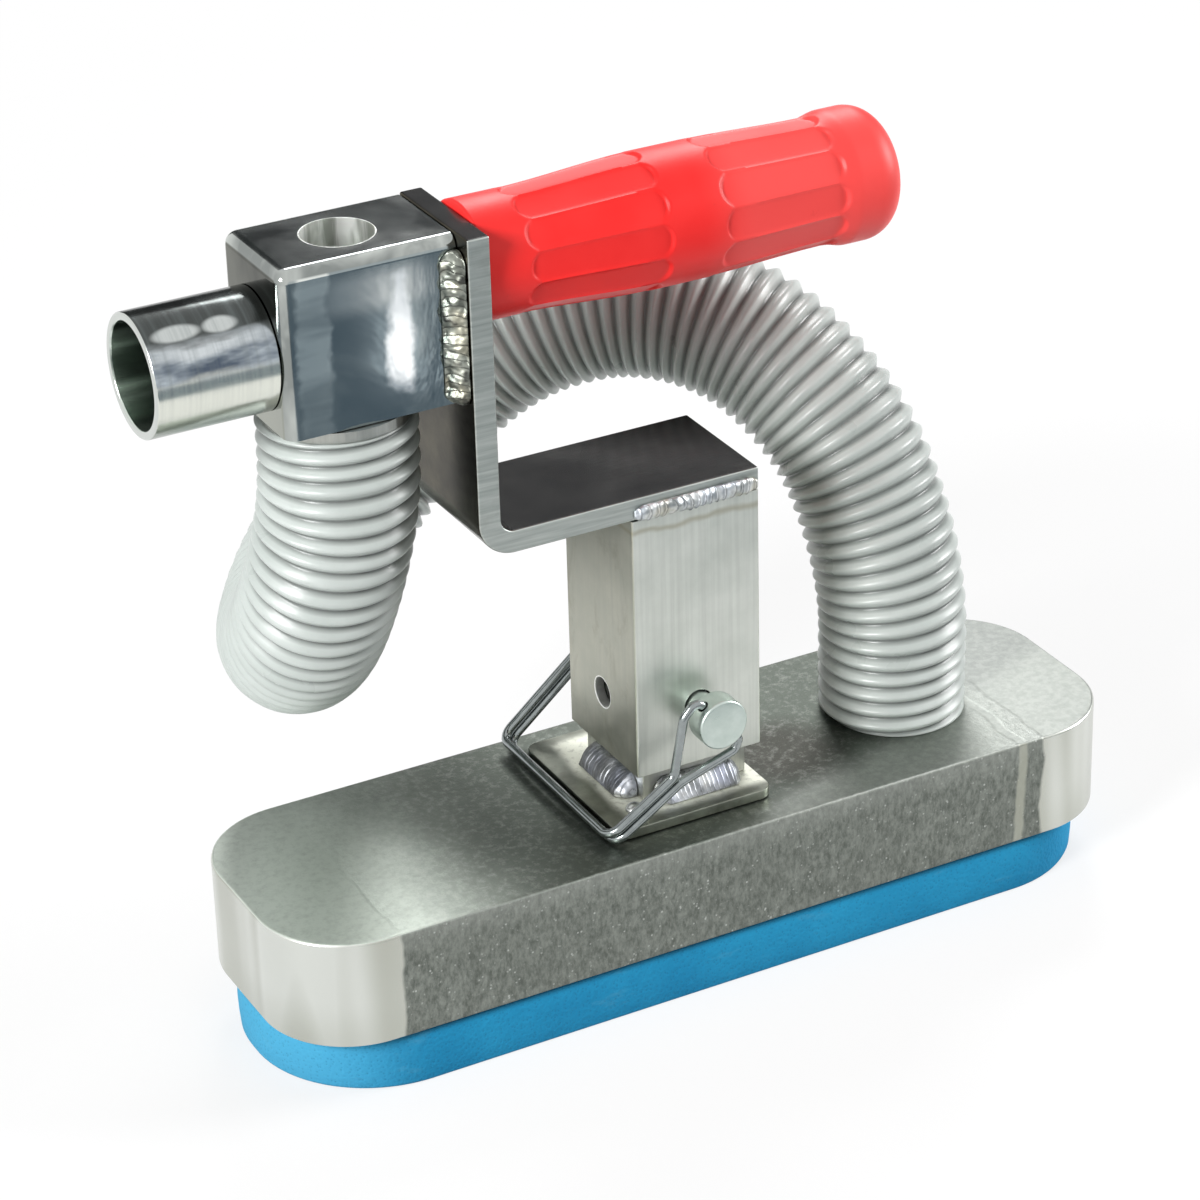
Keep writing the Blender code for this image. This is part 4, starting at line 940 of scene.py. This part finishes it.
def make_seal():
    length, width = FOOT_LENGTH - 2 * SEAL_INSET, FOOT_WIDTH - 2 * SEAL_INSET
    outer = rounded_rectangle(length, width, SEAL_CORNER, steps=40)
    inner = rounded_rectangle(
        length - 2 * SEAL_BAND, width - 2 * SEAL_BAND, SEAL_CORNER - SEAL_BAND, steps=40
    )
    height, edge = FOOT_BOTTOM - GAP, 0.0009
    spacing, kept_edge, unevenness = 0.004, 0.002, 0.0002
    section = [
        (edge, 0.0), (edge * 0.35, edge * 0.25), (0.0, edge), (-0.0003, height * 0.3),
        (-0.0005, height * 0.55), (-0.0003, height * 0.8), (0.0, height - edge),
        (edge * 0.4, height - edge * 0.2), (edge, height),
    ]
    rows = []
    for (ox, oy), (ix, iy) in zip(outer, inner):
        outward = Vector((ox - ix, oy - iy, 0)).normalized()
        row = [Vector((ox, oy, z)) - outward * inset for inset, z in section]
        row += [Vector((ix, iy, z)) + outward * inset for inset, z in reversed(section)]
        rows.append(row)
    dense = []
    for a, b in zip(rows, rows[1:] + rows[:1]):
        parts = max(1, round((b[0] - a[0]).length / spacing))
        dense += [[p.lerp(q, k / parts) for p, q in zip(a, b)] for k in range(parts)]
    for row in dense:
        for k, point in enumerate(row):
            if kept_edge < point.z < height - kept_edge:
                wave = noise.noise(Vector((point.x * 45, point.y * 45, point.z * 90)))
                row[k] = point + (point - Vector((0, 0, point.z))).normalized() * wave * unevenness
    dense.append(dense[0])
    mesh = cleaned(grid_mesh("seal_skin", dense, caps=False), MERGE_REACH, flat=False)
    placed(mesh, (0, 0, 0))
    piece = new_piece("seal_skin", mesh, SPONGE, "seal_ring", 45.0)


def make_plate():
    outline = rounded_rectangle(PLATE_RIGHT - PLATE_LEFT, PLATE_WIDTH, PLATE_CORNER, 10)
    mesh = carved("plate_skin", extruded("plate_skin", (outline,), PLATE_THICKNESS), (), 0.0004, 2)
    placed(mesh, ((PLATE_LEFT + PLATE_RIGHT) / 2, 0, PLATE_TOP - PLATE_THICKNESS / 2))
    levelled(new_piece("plate_skin", mesh, PLATE_METAL, "base_plate", 30.0))
    for number, (x, y) in enumerate(RIVET_PLACES, 1):
        name, head = f"rivet_skin_{number}", RIVET_HEAD / 2
        profile = [(0.0, -0.002), (head * 0.6, -0.002), (head * 0.6, 0.0)]
        for a in range(0, 90, 10):
            profile.append((head * math.cos(math.radians(a)), RIVET_DOME * math.sin(math.radians(a))))
        mesh = placed(turned(name, profile + [(0.0, RIVET_DOME)], 40), (x, y, PLATE_TOP + GAP))
        new_piece(name, mesh, RIVET_STEEL, f"plate_rivet_{number}", 50.0)


def make_tube():
    outer = rounded_rectangle(TUBE_SIZE, TUBE_SIZE, 0.0007, steps=5)
    inner = rounded_rectangle(TUBE_SIZE - 2 * TUBE_WALL, TUBE_SIZE - 2 * TUBE_WALL, 0.0003, steps=2)
    body = extruded("post_skin", (outer, inner), TUBE_LENGTH)
    middle = TUBE_BOTTOM + TUBE_LENGTH / 2
    level = Matrix.Translation((0, 0, PIN_Z - middle))
    drills = [
        (rod(DRILL_RADIUS, 2 * TUBE_SIZE), level @ Matrix.Rotation(math.pi / 2, 4, axis)) for axis in "YX"
    ]
    mesh = placed(carved("post_skin", body, drills, 0.0003, 2, 50.0), (0, 0, middle))
    levelled(new_piece("post_skin", mesh, POST_METAL, "outer_tube", 30.0))


def make_bracket():
    outer_bend = BRACKET_INNER_BEND + BRACKET_THICKNESS
    centre = (UPRIGHT_LEFT + outer_bend, LEG_BOTTOM + outer_bend)
    outline = [(LEG_END, LEG_TOP)]
    outline += arc(centre, BRACKET_INNER_BEND, 270, 180, 16)
    outline += [(UPRIGHT_RIGHT, UPRIGHT_TOP), (UPRIGHT_LEFT, UPRIGHT_TOP)]
    outline += arc(centre, outer_bend, 180, 270, 20)
    outline += [(LEG_END, LEG_BOTTOM)]
    mesh = carved("bracket_skin", extruded("bracket_skin", (outline,), TUBE_SIZE), (), 0.0006, 3)
    placed(mesh, (0, 0, 0), Matrix.Rotation(math.pi / 2, 4, "X"))
    levelled(new_piece("bracket_skin", mesh, BAR_METAL, "bracket", 30.0))


def make_block():
    form = bmesh.new()
    sizes = Matrix.Diagonal((BLOCK_LENGTH, BLOCK_DEPTH, BLOCK_HEIGHT, 1))
    bmesh.ops.create_cube(form, size=1, matrix=sizes)
    right, top = BLOCK_LENGTH / 2 - 0.0001, BLOCK_HEIGHT / 2 - 0.0001
    chosen = []
    for edge in form.edges:
        a, b = edge.verts[0].co, edge.verts[1].co
        on_top = min(a.z, b.z) > top and min(a.x, b.x) < right
        left_upright = max(a.x, b.x) < -right and abs(a.z - b.z) > top
        if on_top or left_upright:
            chosen.append(edge)
    bmesh.ops.bevel(form, geom=chosen, offset=BLOCK_ROUND, segments=9, profile=0.5, affect="EDGES")
    body = form_mesh("block_skin", form)
    centre = Vector((BLOCK_X, BLOCK_Y, BLOCK_TOP - BLOCK_HEIGHT / 2))
    reach = BLOCK_X + INLET_BORE / 2 - BLOCK_LEFT
    cutters = []
    for x, z, bore, length, turn in (
        (BLOCK_LEFT, INLET_Z, INLET_BORE, reach, math.pi / 2),
        (BLOCK_X, BLOCK_TOP, THUMB_BORE, BLOCK_TOP - INLET_Z, 0),
        (HOSE_TOP_X, BLOCK_BOTTOM, NECK_BORE, INLET_Z - BLOCK_BOTTOM, 0),
    ):
        start = Matrix.Translation(Vector((x, BLOCK_Y, z)) - centre)
        cutters.append((rod(bore / 2, 2 * length, 80), start @ Matrix.Rotation(turn, 4, "Y")))
    mesh = placed(carved("block_skin", body, cutters, 0.0004, 2, 50.0), centre)
    levelled(new_piece("block_skin", mesh, BLOCK_METAL, "valve_block", 30.0))


def make_inlet():
    outer, inner, edge = INLET_DIAMETER / 2, INLET_DIAMETER / 2 - INLET_WALL, 0.0006
    profile = [(inner, 0), (outer, 0)]
    profile += arc((outer - edge, INLET_LENGTH - edge), edge, 0, 90, 4)
    profile += arc((inner + edge, INLET_LENGTH - edge), edge, 90, 180, 4)
    mesh = turned("inlet_skin", profile, 128)
    placed(mesh, (BLOCK_LEFT - GAP, BLOCK_Y, INLET_Z), Matrix.Rotation(-math.pi / 2, 4, "Y"))
    new_piece("inlet_skin", mesh, INLET_METAL, "inlet_tube", 40.0)


def grip_radius(along):
    step = GRIP_KNOB_START - 0.002
    stations = (
        (0.0, GRIP_COLLAR_RADIUS), (GRIP_COLLAR_END, GRIP_COLLAR_RADIUS),
        (GRIP_BELLY_START, GRIP_BELLY_RADIUS), (GRIP_BELLY_END, GRIP_BELLY_RADIUS),
        (step, GRIP_NECK_RADIUS), (step + GRIP_STEP, GRIP_KNOB_RADIUS),
        (GRIP_LENGTH, GRIP_KNOB_RADIUS),
    )
    for (start, low), (end, high) in zip(stations, stations[1:]):
        if along <= end:
            share = (along - start) / (end - start)
            return low + (high - low) * share * share * (3 - 2 * share)
    return GRIP_KNOB_RADIUS


def flute_depth(along, turn):
    """Flat-bottomed flutes between sharp ridges; their ends are scalloped."""
    scalloping, ramp = 0.0030, 0.0008
    wave = abs(math.sin(turn / 2))
    depth = 0.0
    for start, end in ((GRIP_COLLAR_END, GRIP_BELLY_START), (GRIP_BELLY_END, GRIP_KNOB_START)):
        scallop = scalloping * (1 - wave) ** 1.3
        inside = min(along - start - scallop, end - along - scallop)
        step = min(max(inside / ramp, 0.0), 1.0)
        depth = max(depth, FLUTE_DEPTH * wave ** 0.6 * step * step * (3 - 2 * step))
    return depth


def make_grip():
    bore = HANDLE_TUBE_DIAMETER / 2 + 0.0003
    around = FLUTES * 16
    spacing, edge = 0.0004, 0.0006
    straight = GRIP_LENGTH - GRIP_END_ROUND
    stations = [spacing * k for k in range(int(straight / spacing))] + [straight]
    outline = [(bore, 0.0), (GRIP_COLLAR_RADIUS - edge, 0.0)]
    outline += [(grip_radius(along) - (edge if along < spacing else 0), along) for along in stations[1:]]
    outline += arc((GRIP_KNOB_RADIUS - GRIP_END_ROUND, straight), GRIP_END_ROUND, 4, 90, 18)
    rows = []
    for radius, along in outline:
        row = []
        for k in range(around):
            turn = 2 * math.pi * k / around
            deep = flute_depth(along, turn * FLUTES) if radius > bore + 0.001 else 0.0
            row.append(Vector(((radius - deep) * math.cos(turn), (radius - deep) * math.sin(turn), along)))
        rows.append(row)
    mesh = grid_mesh("grip_skin", rows, caps=False)
    form = bmesh.new()
    form.from_mesh(mesh)
    rim = [edge for edge in form.edges if edge.is_boundary and edge.verts[0].co.z > 0.05]
    bmesh.ops.holes_fill(form, edges=rim, sides=0)
    bmesh.ops.recalc_face_normals(form, faces=form.faces)
    form.to_mesh(mesh)
    form.free()
    turn = Matrix.Rotation(math.pi / 2, 4, "Y") @ Matrix.Rotation(math.radians(FLUTE_TURN), 4, "Z")
    placed(mesh, (UPRIGHT_RIGHT + GAP, 0, HANDLE_Z), turn)
    new_piece("grip_skin", mesh, RED, "grip", 60.0)


def make_pin():
    radius, head, edge = PIN_DIAMETER / 2, PIN_HEAD_DIAMETER / 2, 0.0008
    length = PIN_HEAD_LENGTH + PIN_HEAD_STANDOFF + TUBE_SIZE + PIN_TIP_REACH
    profile = [(0.0, 0.0)] + arc((head - edge, edge), edge, 270, 360, 4)
    profile += arc((head - edge, PIN_HEAD_LENGTH - edge), edge, 0, 90, 4)
    profile += [(radius, PIN_HEAD_LENGTH), (radius, length - PIN_TIP_TAPER)]
    profile += [(radius - PIN_TIP_TAPER / 2, length), (0.0, length)]
    body = turned("pin_skin", profile, 96)
    frame_turn = Matrix.Rotation(math.radians(180 - BAIL_ANGLE), 4, "Y")
    body.transform(Matrix.Rotation(-math.pi / 2, 4, "X"))
    body.transform(Matrix.Translation((0, HEAD_Y - PIN_HEAD_LENGTH / 2, 0)))
    hole = rod(WIRE_RADIUS + 0.00035, 2 * PIN_HEAD_DIAMETER, 32)
    mesh = carved("pin_skin", body, ((hole, Matrix.Translation((0, HEAD_Y, 0))),), 0.0)
    placed(mesh, (0, 0, PIN_Z), frame_turn)
    new_piece("pin_skin", mesh, ZINC, "lock_pin", 35.0, "locking_pin")
    return frame_turn


def make_bail(frame_turn):
    half, bend = WIRE_SPACING / 2, BAIL_BEND
    hold = PIN_DIAMETER / 2 + WIRE_RADIUS + 2 * GAP
    inside = PIN_HEAD_DIAMETER / 5
    front, back, reach = HEAD_Y, TUBE_SIZE / 2 + BAIL_BACK, BAIL_REACH
    joined = reach * 0.45
    lean = WIRE_SPACING
    upper = (
        ((0, front, -inside), 0),
        ((0, front, -EAR_TOP), HOLE_BEND),
        ((joined * 0.3, front, -EAR_TOP + half / 2), bend),
        ((joined, front, lean - half), bend),
        ((reach, front, -half), bend),
        ((reach, back, -half), bend),
        ((joined / 2, back, -half), bend),
        ((hold / 2, back, -hold), hold / 2),
        ((-hold, back, -hold), hold * 0.9),
    )
    lower = (
        ((-hold, back, hold), hold * 0.9),
        ((hold / 2, back, hold), hold / 2),
        ((joined / 2, back, half), bend),
        ((reach, back, half), bend),
        ((reach, front, half), bend),
        ((joined, front, lean + half), bend),
        ((joined * 0.15, front, EAR_BOTTOM), HOLE_BEND),
        ((0, front, EAR_BOTTOM - half), HOLE_BEND / 2),
        ((0, front, inside), 0),
    )
    mesh = wire("bail_skin", rounded_path(upper + lower, 10), WIRE_RADIUS)
    placed(mesh, (0, 0, PIN_Z), frame_turn)
    new_piece("bail_skin", mesh, WIRE_STEEL, "bail", 70.0, "locking_pin")


def fillet(leg):
    """The outline of a bead in a right-angled corner, from one wall to the other."""
    def shape(share):
        if share <= 0:
            return leg, 0.0
        if share >= 1:
            return 0.0, leg
        angle = math.radians(90 * share)
        return leg * math.cos(angle) ** 1.35, leg * math.sin(angle) ** 1.35
    return shape


def crown(share):
    """The outline of a bead on a flat face, from one edge to the other."""
    angle = math.pi * share
    return TUBE_BEAD_HEIGHT / 2 * math.cos(angle), TUBE_BEAD_BULGE * math.sin(angle)


def make_bead(name, node, seam, across, outward, shape, ripple, lumps, seed, material):
    """A hand-made bead: crescent ripples that overlap one way, with lumps and pits."""
    start, end = Vector(seam[0]), Vector(seam[1])
    across, outward = Vector(across), Vector(outward)
    length = (end - start).length
    step, height = ripple
    spacing, samples, taper = 0.00016, 22, 0.0030
    stations = max(12, round(length / spacing))
    in_corner = shape(1.0)[0] == 0.0
    rows, hollows = [], []
    for k in range(stations + 1):
        u = k / stations
        middle = start.lerp(end, u)
        near_end = min(u, 1 - u) * length
        size = 0.30 + 0.70 * math.sqrt(min(1.0, near_end / taper))
        row, deeps = [], []
        for j in range(samples + 1):
            v = j / samples
            a, b = shape(v)
            a2, b2 = shape(min(v + 0.01, 1.0))
            a1, b1 = shape(max(v - 0.01, 0.0))
            normal = Vector((b2 - b1, a1 - a2)).normalized()
            bowed = u * length / step + 0.55 * (2 * v - 1) ** 2
            bowed += 0.70 * noise.noise(Vector((u * length * 160, seed, v)))
            tooth = bowed - math.floor(bowed)
            coarse = noise.noise(Vector((u * length * 260, v * 2.2, seed)))
            small = noise.noise(Vector((u * length * 800, v * 5, seed + 7)))
            lift = height * (tooth ** 0.8 - 0.5) * math.sin(math.pi * v) ** 0.5
            lift += lumps * (coarse + 0.3 * small)
            lift *= min(1.0, math.sin(math.pi * v) * 3)
            a, b = a * size - normal.x * lift, b * size - normal.y * lift
            row.append(middle + across * a + outward * b)
            # the hollow values mark ripple troughs and low lumps, which the weld material paints dark as
            # shade
            pit = -(coarse + 0.5 * small) * 1.6 * min(1.0, lumps / 0.001)
            deeps.append(min(max(1 - tooth / 0.40, pit, 0.0), 1.0))
        if in_corner:
            row.append(middle.copy())
            deeps.append(1.0)
        rows.append(row)
        hollows.append(deeps)
    new_piece(name, placed(grid_mesh(name, rows, hollows=hollows), (0, 0, 0)), material, node, 0)


def make_beads():
    wall, half, level = STUB_SIZE / 2 + GAP, BEAD_HALF, PLATE_TOP + GAP
    sides = (
        ("front", 0, -1, STUB_BEAD), ("right", 1, 0, SIDE_BEAD),
        ("back", 0, 1, STUB_BEAD), ("left", -1, 0, STUB_BEAD),
    )
    for number, (side, out_x, out_y, leg) in enumerate(sides):
        seam = (
            (out_x * wall - out_y * half, out_y * wall + out_x * half, level),
            (out_x * wall + out_y * half, out_y * wall - out_x * half, level),
        )
        rough = 0.4 if leg < STUB_BEAD else 1.0
        make_bead(
            "bead_stub_" + side, "weld_stub_" + side, seam, (out_x, out_y, 0), (0, 0, 1),
            fillet(leg), (0.0015, 0.00018 * rough), 0.00045 * rough, 3.0 + number, STUB_WELD,
        )
    seam = (
        (UPRIGHT_LEFT - GAP, BLOCK_FRONT - GAP, BLOCK_BOTTOM),
        (UPRIGHT_LEFT - GAP, BLOCK_FRONT - GAP, BLOCK_TOP - BLOCK_ROUND),
    )
    make_bead(
        "bead_block_front", "weld_block_front", seam, (-1, 0, 0), (0, -1, 0), fillet(BLOCK_BEAD),
        (0.0024, 0.0006), 0.0010, 11.0, BLOCK_WELD,
    )
    reach = TUBE_SIZE / 2 - 0.0006
    for number, (side, out) in enumerate((("front", -1), ("back", 1))):
        face = out * (TUBE_SIZE / 2 + GAP)
        level = LEG_BOTTOM + TUBE_BEAD_RISE
        make_bead(
            "bead_post_" + side, "weld_tube_" + side, ((-reach, face, level), (reach, face, level)),
            (0, 0, 1), (0, out, 0), crown, (0.0024, 0.0006), 0.0005, 21.0 + number, POST_WELD,
        )


def dress_hidden_nodes():
    for name in ("inner_stub", "hose_spigot_top", "hose_spigot_foot", "handle_tube"):
        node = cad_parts[name]
        node.data.materials.clear()
        node.data.materials.append(INNER_METAL)


# Studio

def bare_tree(holder):
    """The empty node tree of a material or a world."""
    holder.use_nodes = True
    holder.node_tree.nodes.clear()
    return holder.node_tree


def seen_share(tree):
    """1 for what the camera sees, also mirrored or through glass, and 0 for light on its way to a surface."""
    path = add_node(tree, "ShaderNodeLightPath").outputs
    seen = Field(path["Is Camera Ray"]).largest(Field(path["Is Glossy Ray"]))
    return seen.largest(Field(path["Is Transmission Ray"]))


def crossed(tree, share, first, second, output):
    """Two shaders blended by a share and sent to the tree's output."""
    shaders = {0: share, 1: Field(first.outputs[0]), 2: Field(second.outputs[0])}
    blend = add_node(tree, "ShaderNodeMixShader", shaders)
    add_node(tree, output, {"Surface": Field(blend.outputs[0])})


def make_world():
    world = bpy.data.worlds.new("studio")
    bpy.context.scene.world = world
    tree = bare_tree(world)
    seen = seen_share(tree)
    soft = add_node(tree, "ShaderNodeBackground", {"Color": (1, 1, 1, 1), "Strength": 0.16})
    white = add_node(tree, "ShaderNodeBackground", {"Color": (1, 1, 1, 1), "Strength": 1.0})
    crossed(tree, seen, soft, white, "ShaderNodeOutputWorld")


def glow(tree, colour):
    return add_node(tree, "ShaderNodeEmission", {"Color": (*colour, 1), "Strength": 1.0})


def make_floor():
    """A pale floor that keeps the tool's shadow near it and is white farther away."""
    form = bmesh.new()
    bmesh.ops.create_circle(form, cap_ends=True, segments=96, radius=6.0)
    floor = linked("floor", form_mesh("floor", form))
    material = bpy.data.materials.new("pale floor")
    tree = bare_tree(material)
    seen = seen_share(tree)
    lit = add_node(tree, "ShaderNodeBsdfDiffuse", {"Color": seen.blend(grey(0.50), grey(0.92))})
    place = Field(add_node(tree, "ShaderNodeTexCoord").outputs["Object"])
    reach = Field(add_node(tree, "ShaderNodeVectorMath", {0: place}, operation="LENGTH").outputs["Value"])
    share = seen * reach.soft(0.30, 0.90, 0.70, 1.0)
    crossed(tree, share, lit, glow(tree, grey(1)), "ShaderNodeOutputMaterial")
    floor.data.materials.append(material)


def make_card(name, corners, colour):
    """A card beside the set, as in a product studio: polished metal shows it, the camera doesn't."""
    form = bmesh.new()
    form.faces.new([form.verts.new(corner) for corner in corners])
    card = linked(name, form_mesh(name, form))
    material = bpy.data.materials.new(name)
    tree = bare_tree(material)
    add_node(tree, "ShaderNodeOutputMaterial", {"Surface": Field(glow(tree, colour).outputs[0])})
    card.data.materials.append(material)
    card.visible_camera = False
    card.visible_diffuse = False
    card.visible_shadow = False


def make_cards():
    ahead = Vector((0.48, -0.877, 0))
    side = Vector((0.877, 0.48, 0))
    blue_grey = (0.22, 0.27, 0.31)
    strip = ((0.402, -0.113), (0.402, -0.094), (0.520, -0.106), (0.520, -0.117))
    for name, outline, level, colour in (
        ("front_card_left", ((0.3, -0.75), (1.2, -0.75), (1.2, 0.068), (0.3, 0.068)), 0.003, blue_grey),
        ("front_card_right", ((0.3, 0.082), (1.2, 0.082), (1.2, 0.75), (0.3, 0.75)), 0.003, blue_grey),
        ("front_strip", strip, 0.006, grey(1.7)),
    ):
        corners = [ahead * far + side * across + Vector((0, 0, level)) for far, across in outline]
        make_card(name, corners, colour)
    behind = Vector((0.48, 0.877, 0))
    across = Vector((0.877, -0.48, 0))
    middle = behind * 0.9
    low, high = Vector((0, 0, 0.30)), Vector((0, 0, 0.95))
    corners = [
        middle - across * 0.8 + low, middle + across * 0.8 + low,
        middle + across * 0.8 + high, middle - across * 0.8 + high,
    ]
    make_card("back_card", corners, (0.07, 0.075, 0.075))


def make_lamp(name, location, target, size, power):
    data = bpy.data.lights.new(name, "AREA")
    data.shape = "DISK"
    data.size = size
    data.energy = power
    lamp = linked(name, data)
    lamp.location = location
    direction = Vector(target) - Vector(location)
    lamp.rotation_euler = direction.to_track_quat("-Z", "Y").to_euler()


def make_lamps():
    target = (0.0, 0.0, 0.12)
    for name, location, size, power in (
        ("left", (-1.26, -0.50, 0.80), 0.55, 23),
        ("right", (1.34, -0.36, 0.68), 0.70, 17),
        ("back", (0.54, 0.93, 1.02), 0.60, 9),
    ):
        make_lamp(name, location, target, size, power)


bpy.context.scene.view_settings.view_transform = "Standard"
make_camera()
make_hose()
make_foot()
make_seal()
make_plate()
make_tube()
make_bracket()
make_block()
make_inlet()
make_grip()
make_bail(make_pin())
make_beads()
dress_hidden_nodes()
make_world()
make_floor()
make_cards()
make_lamps()
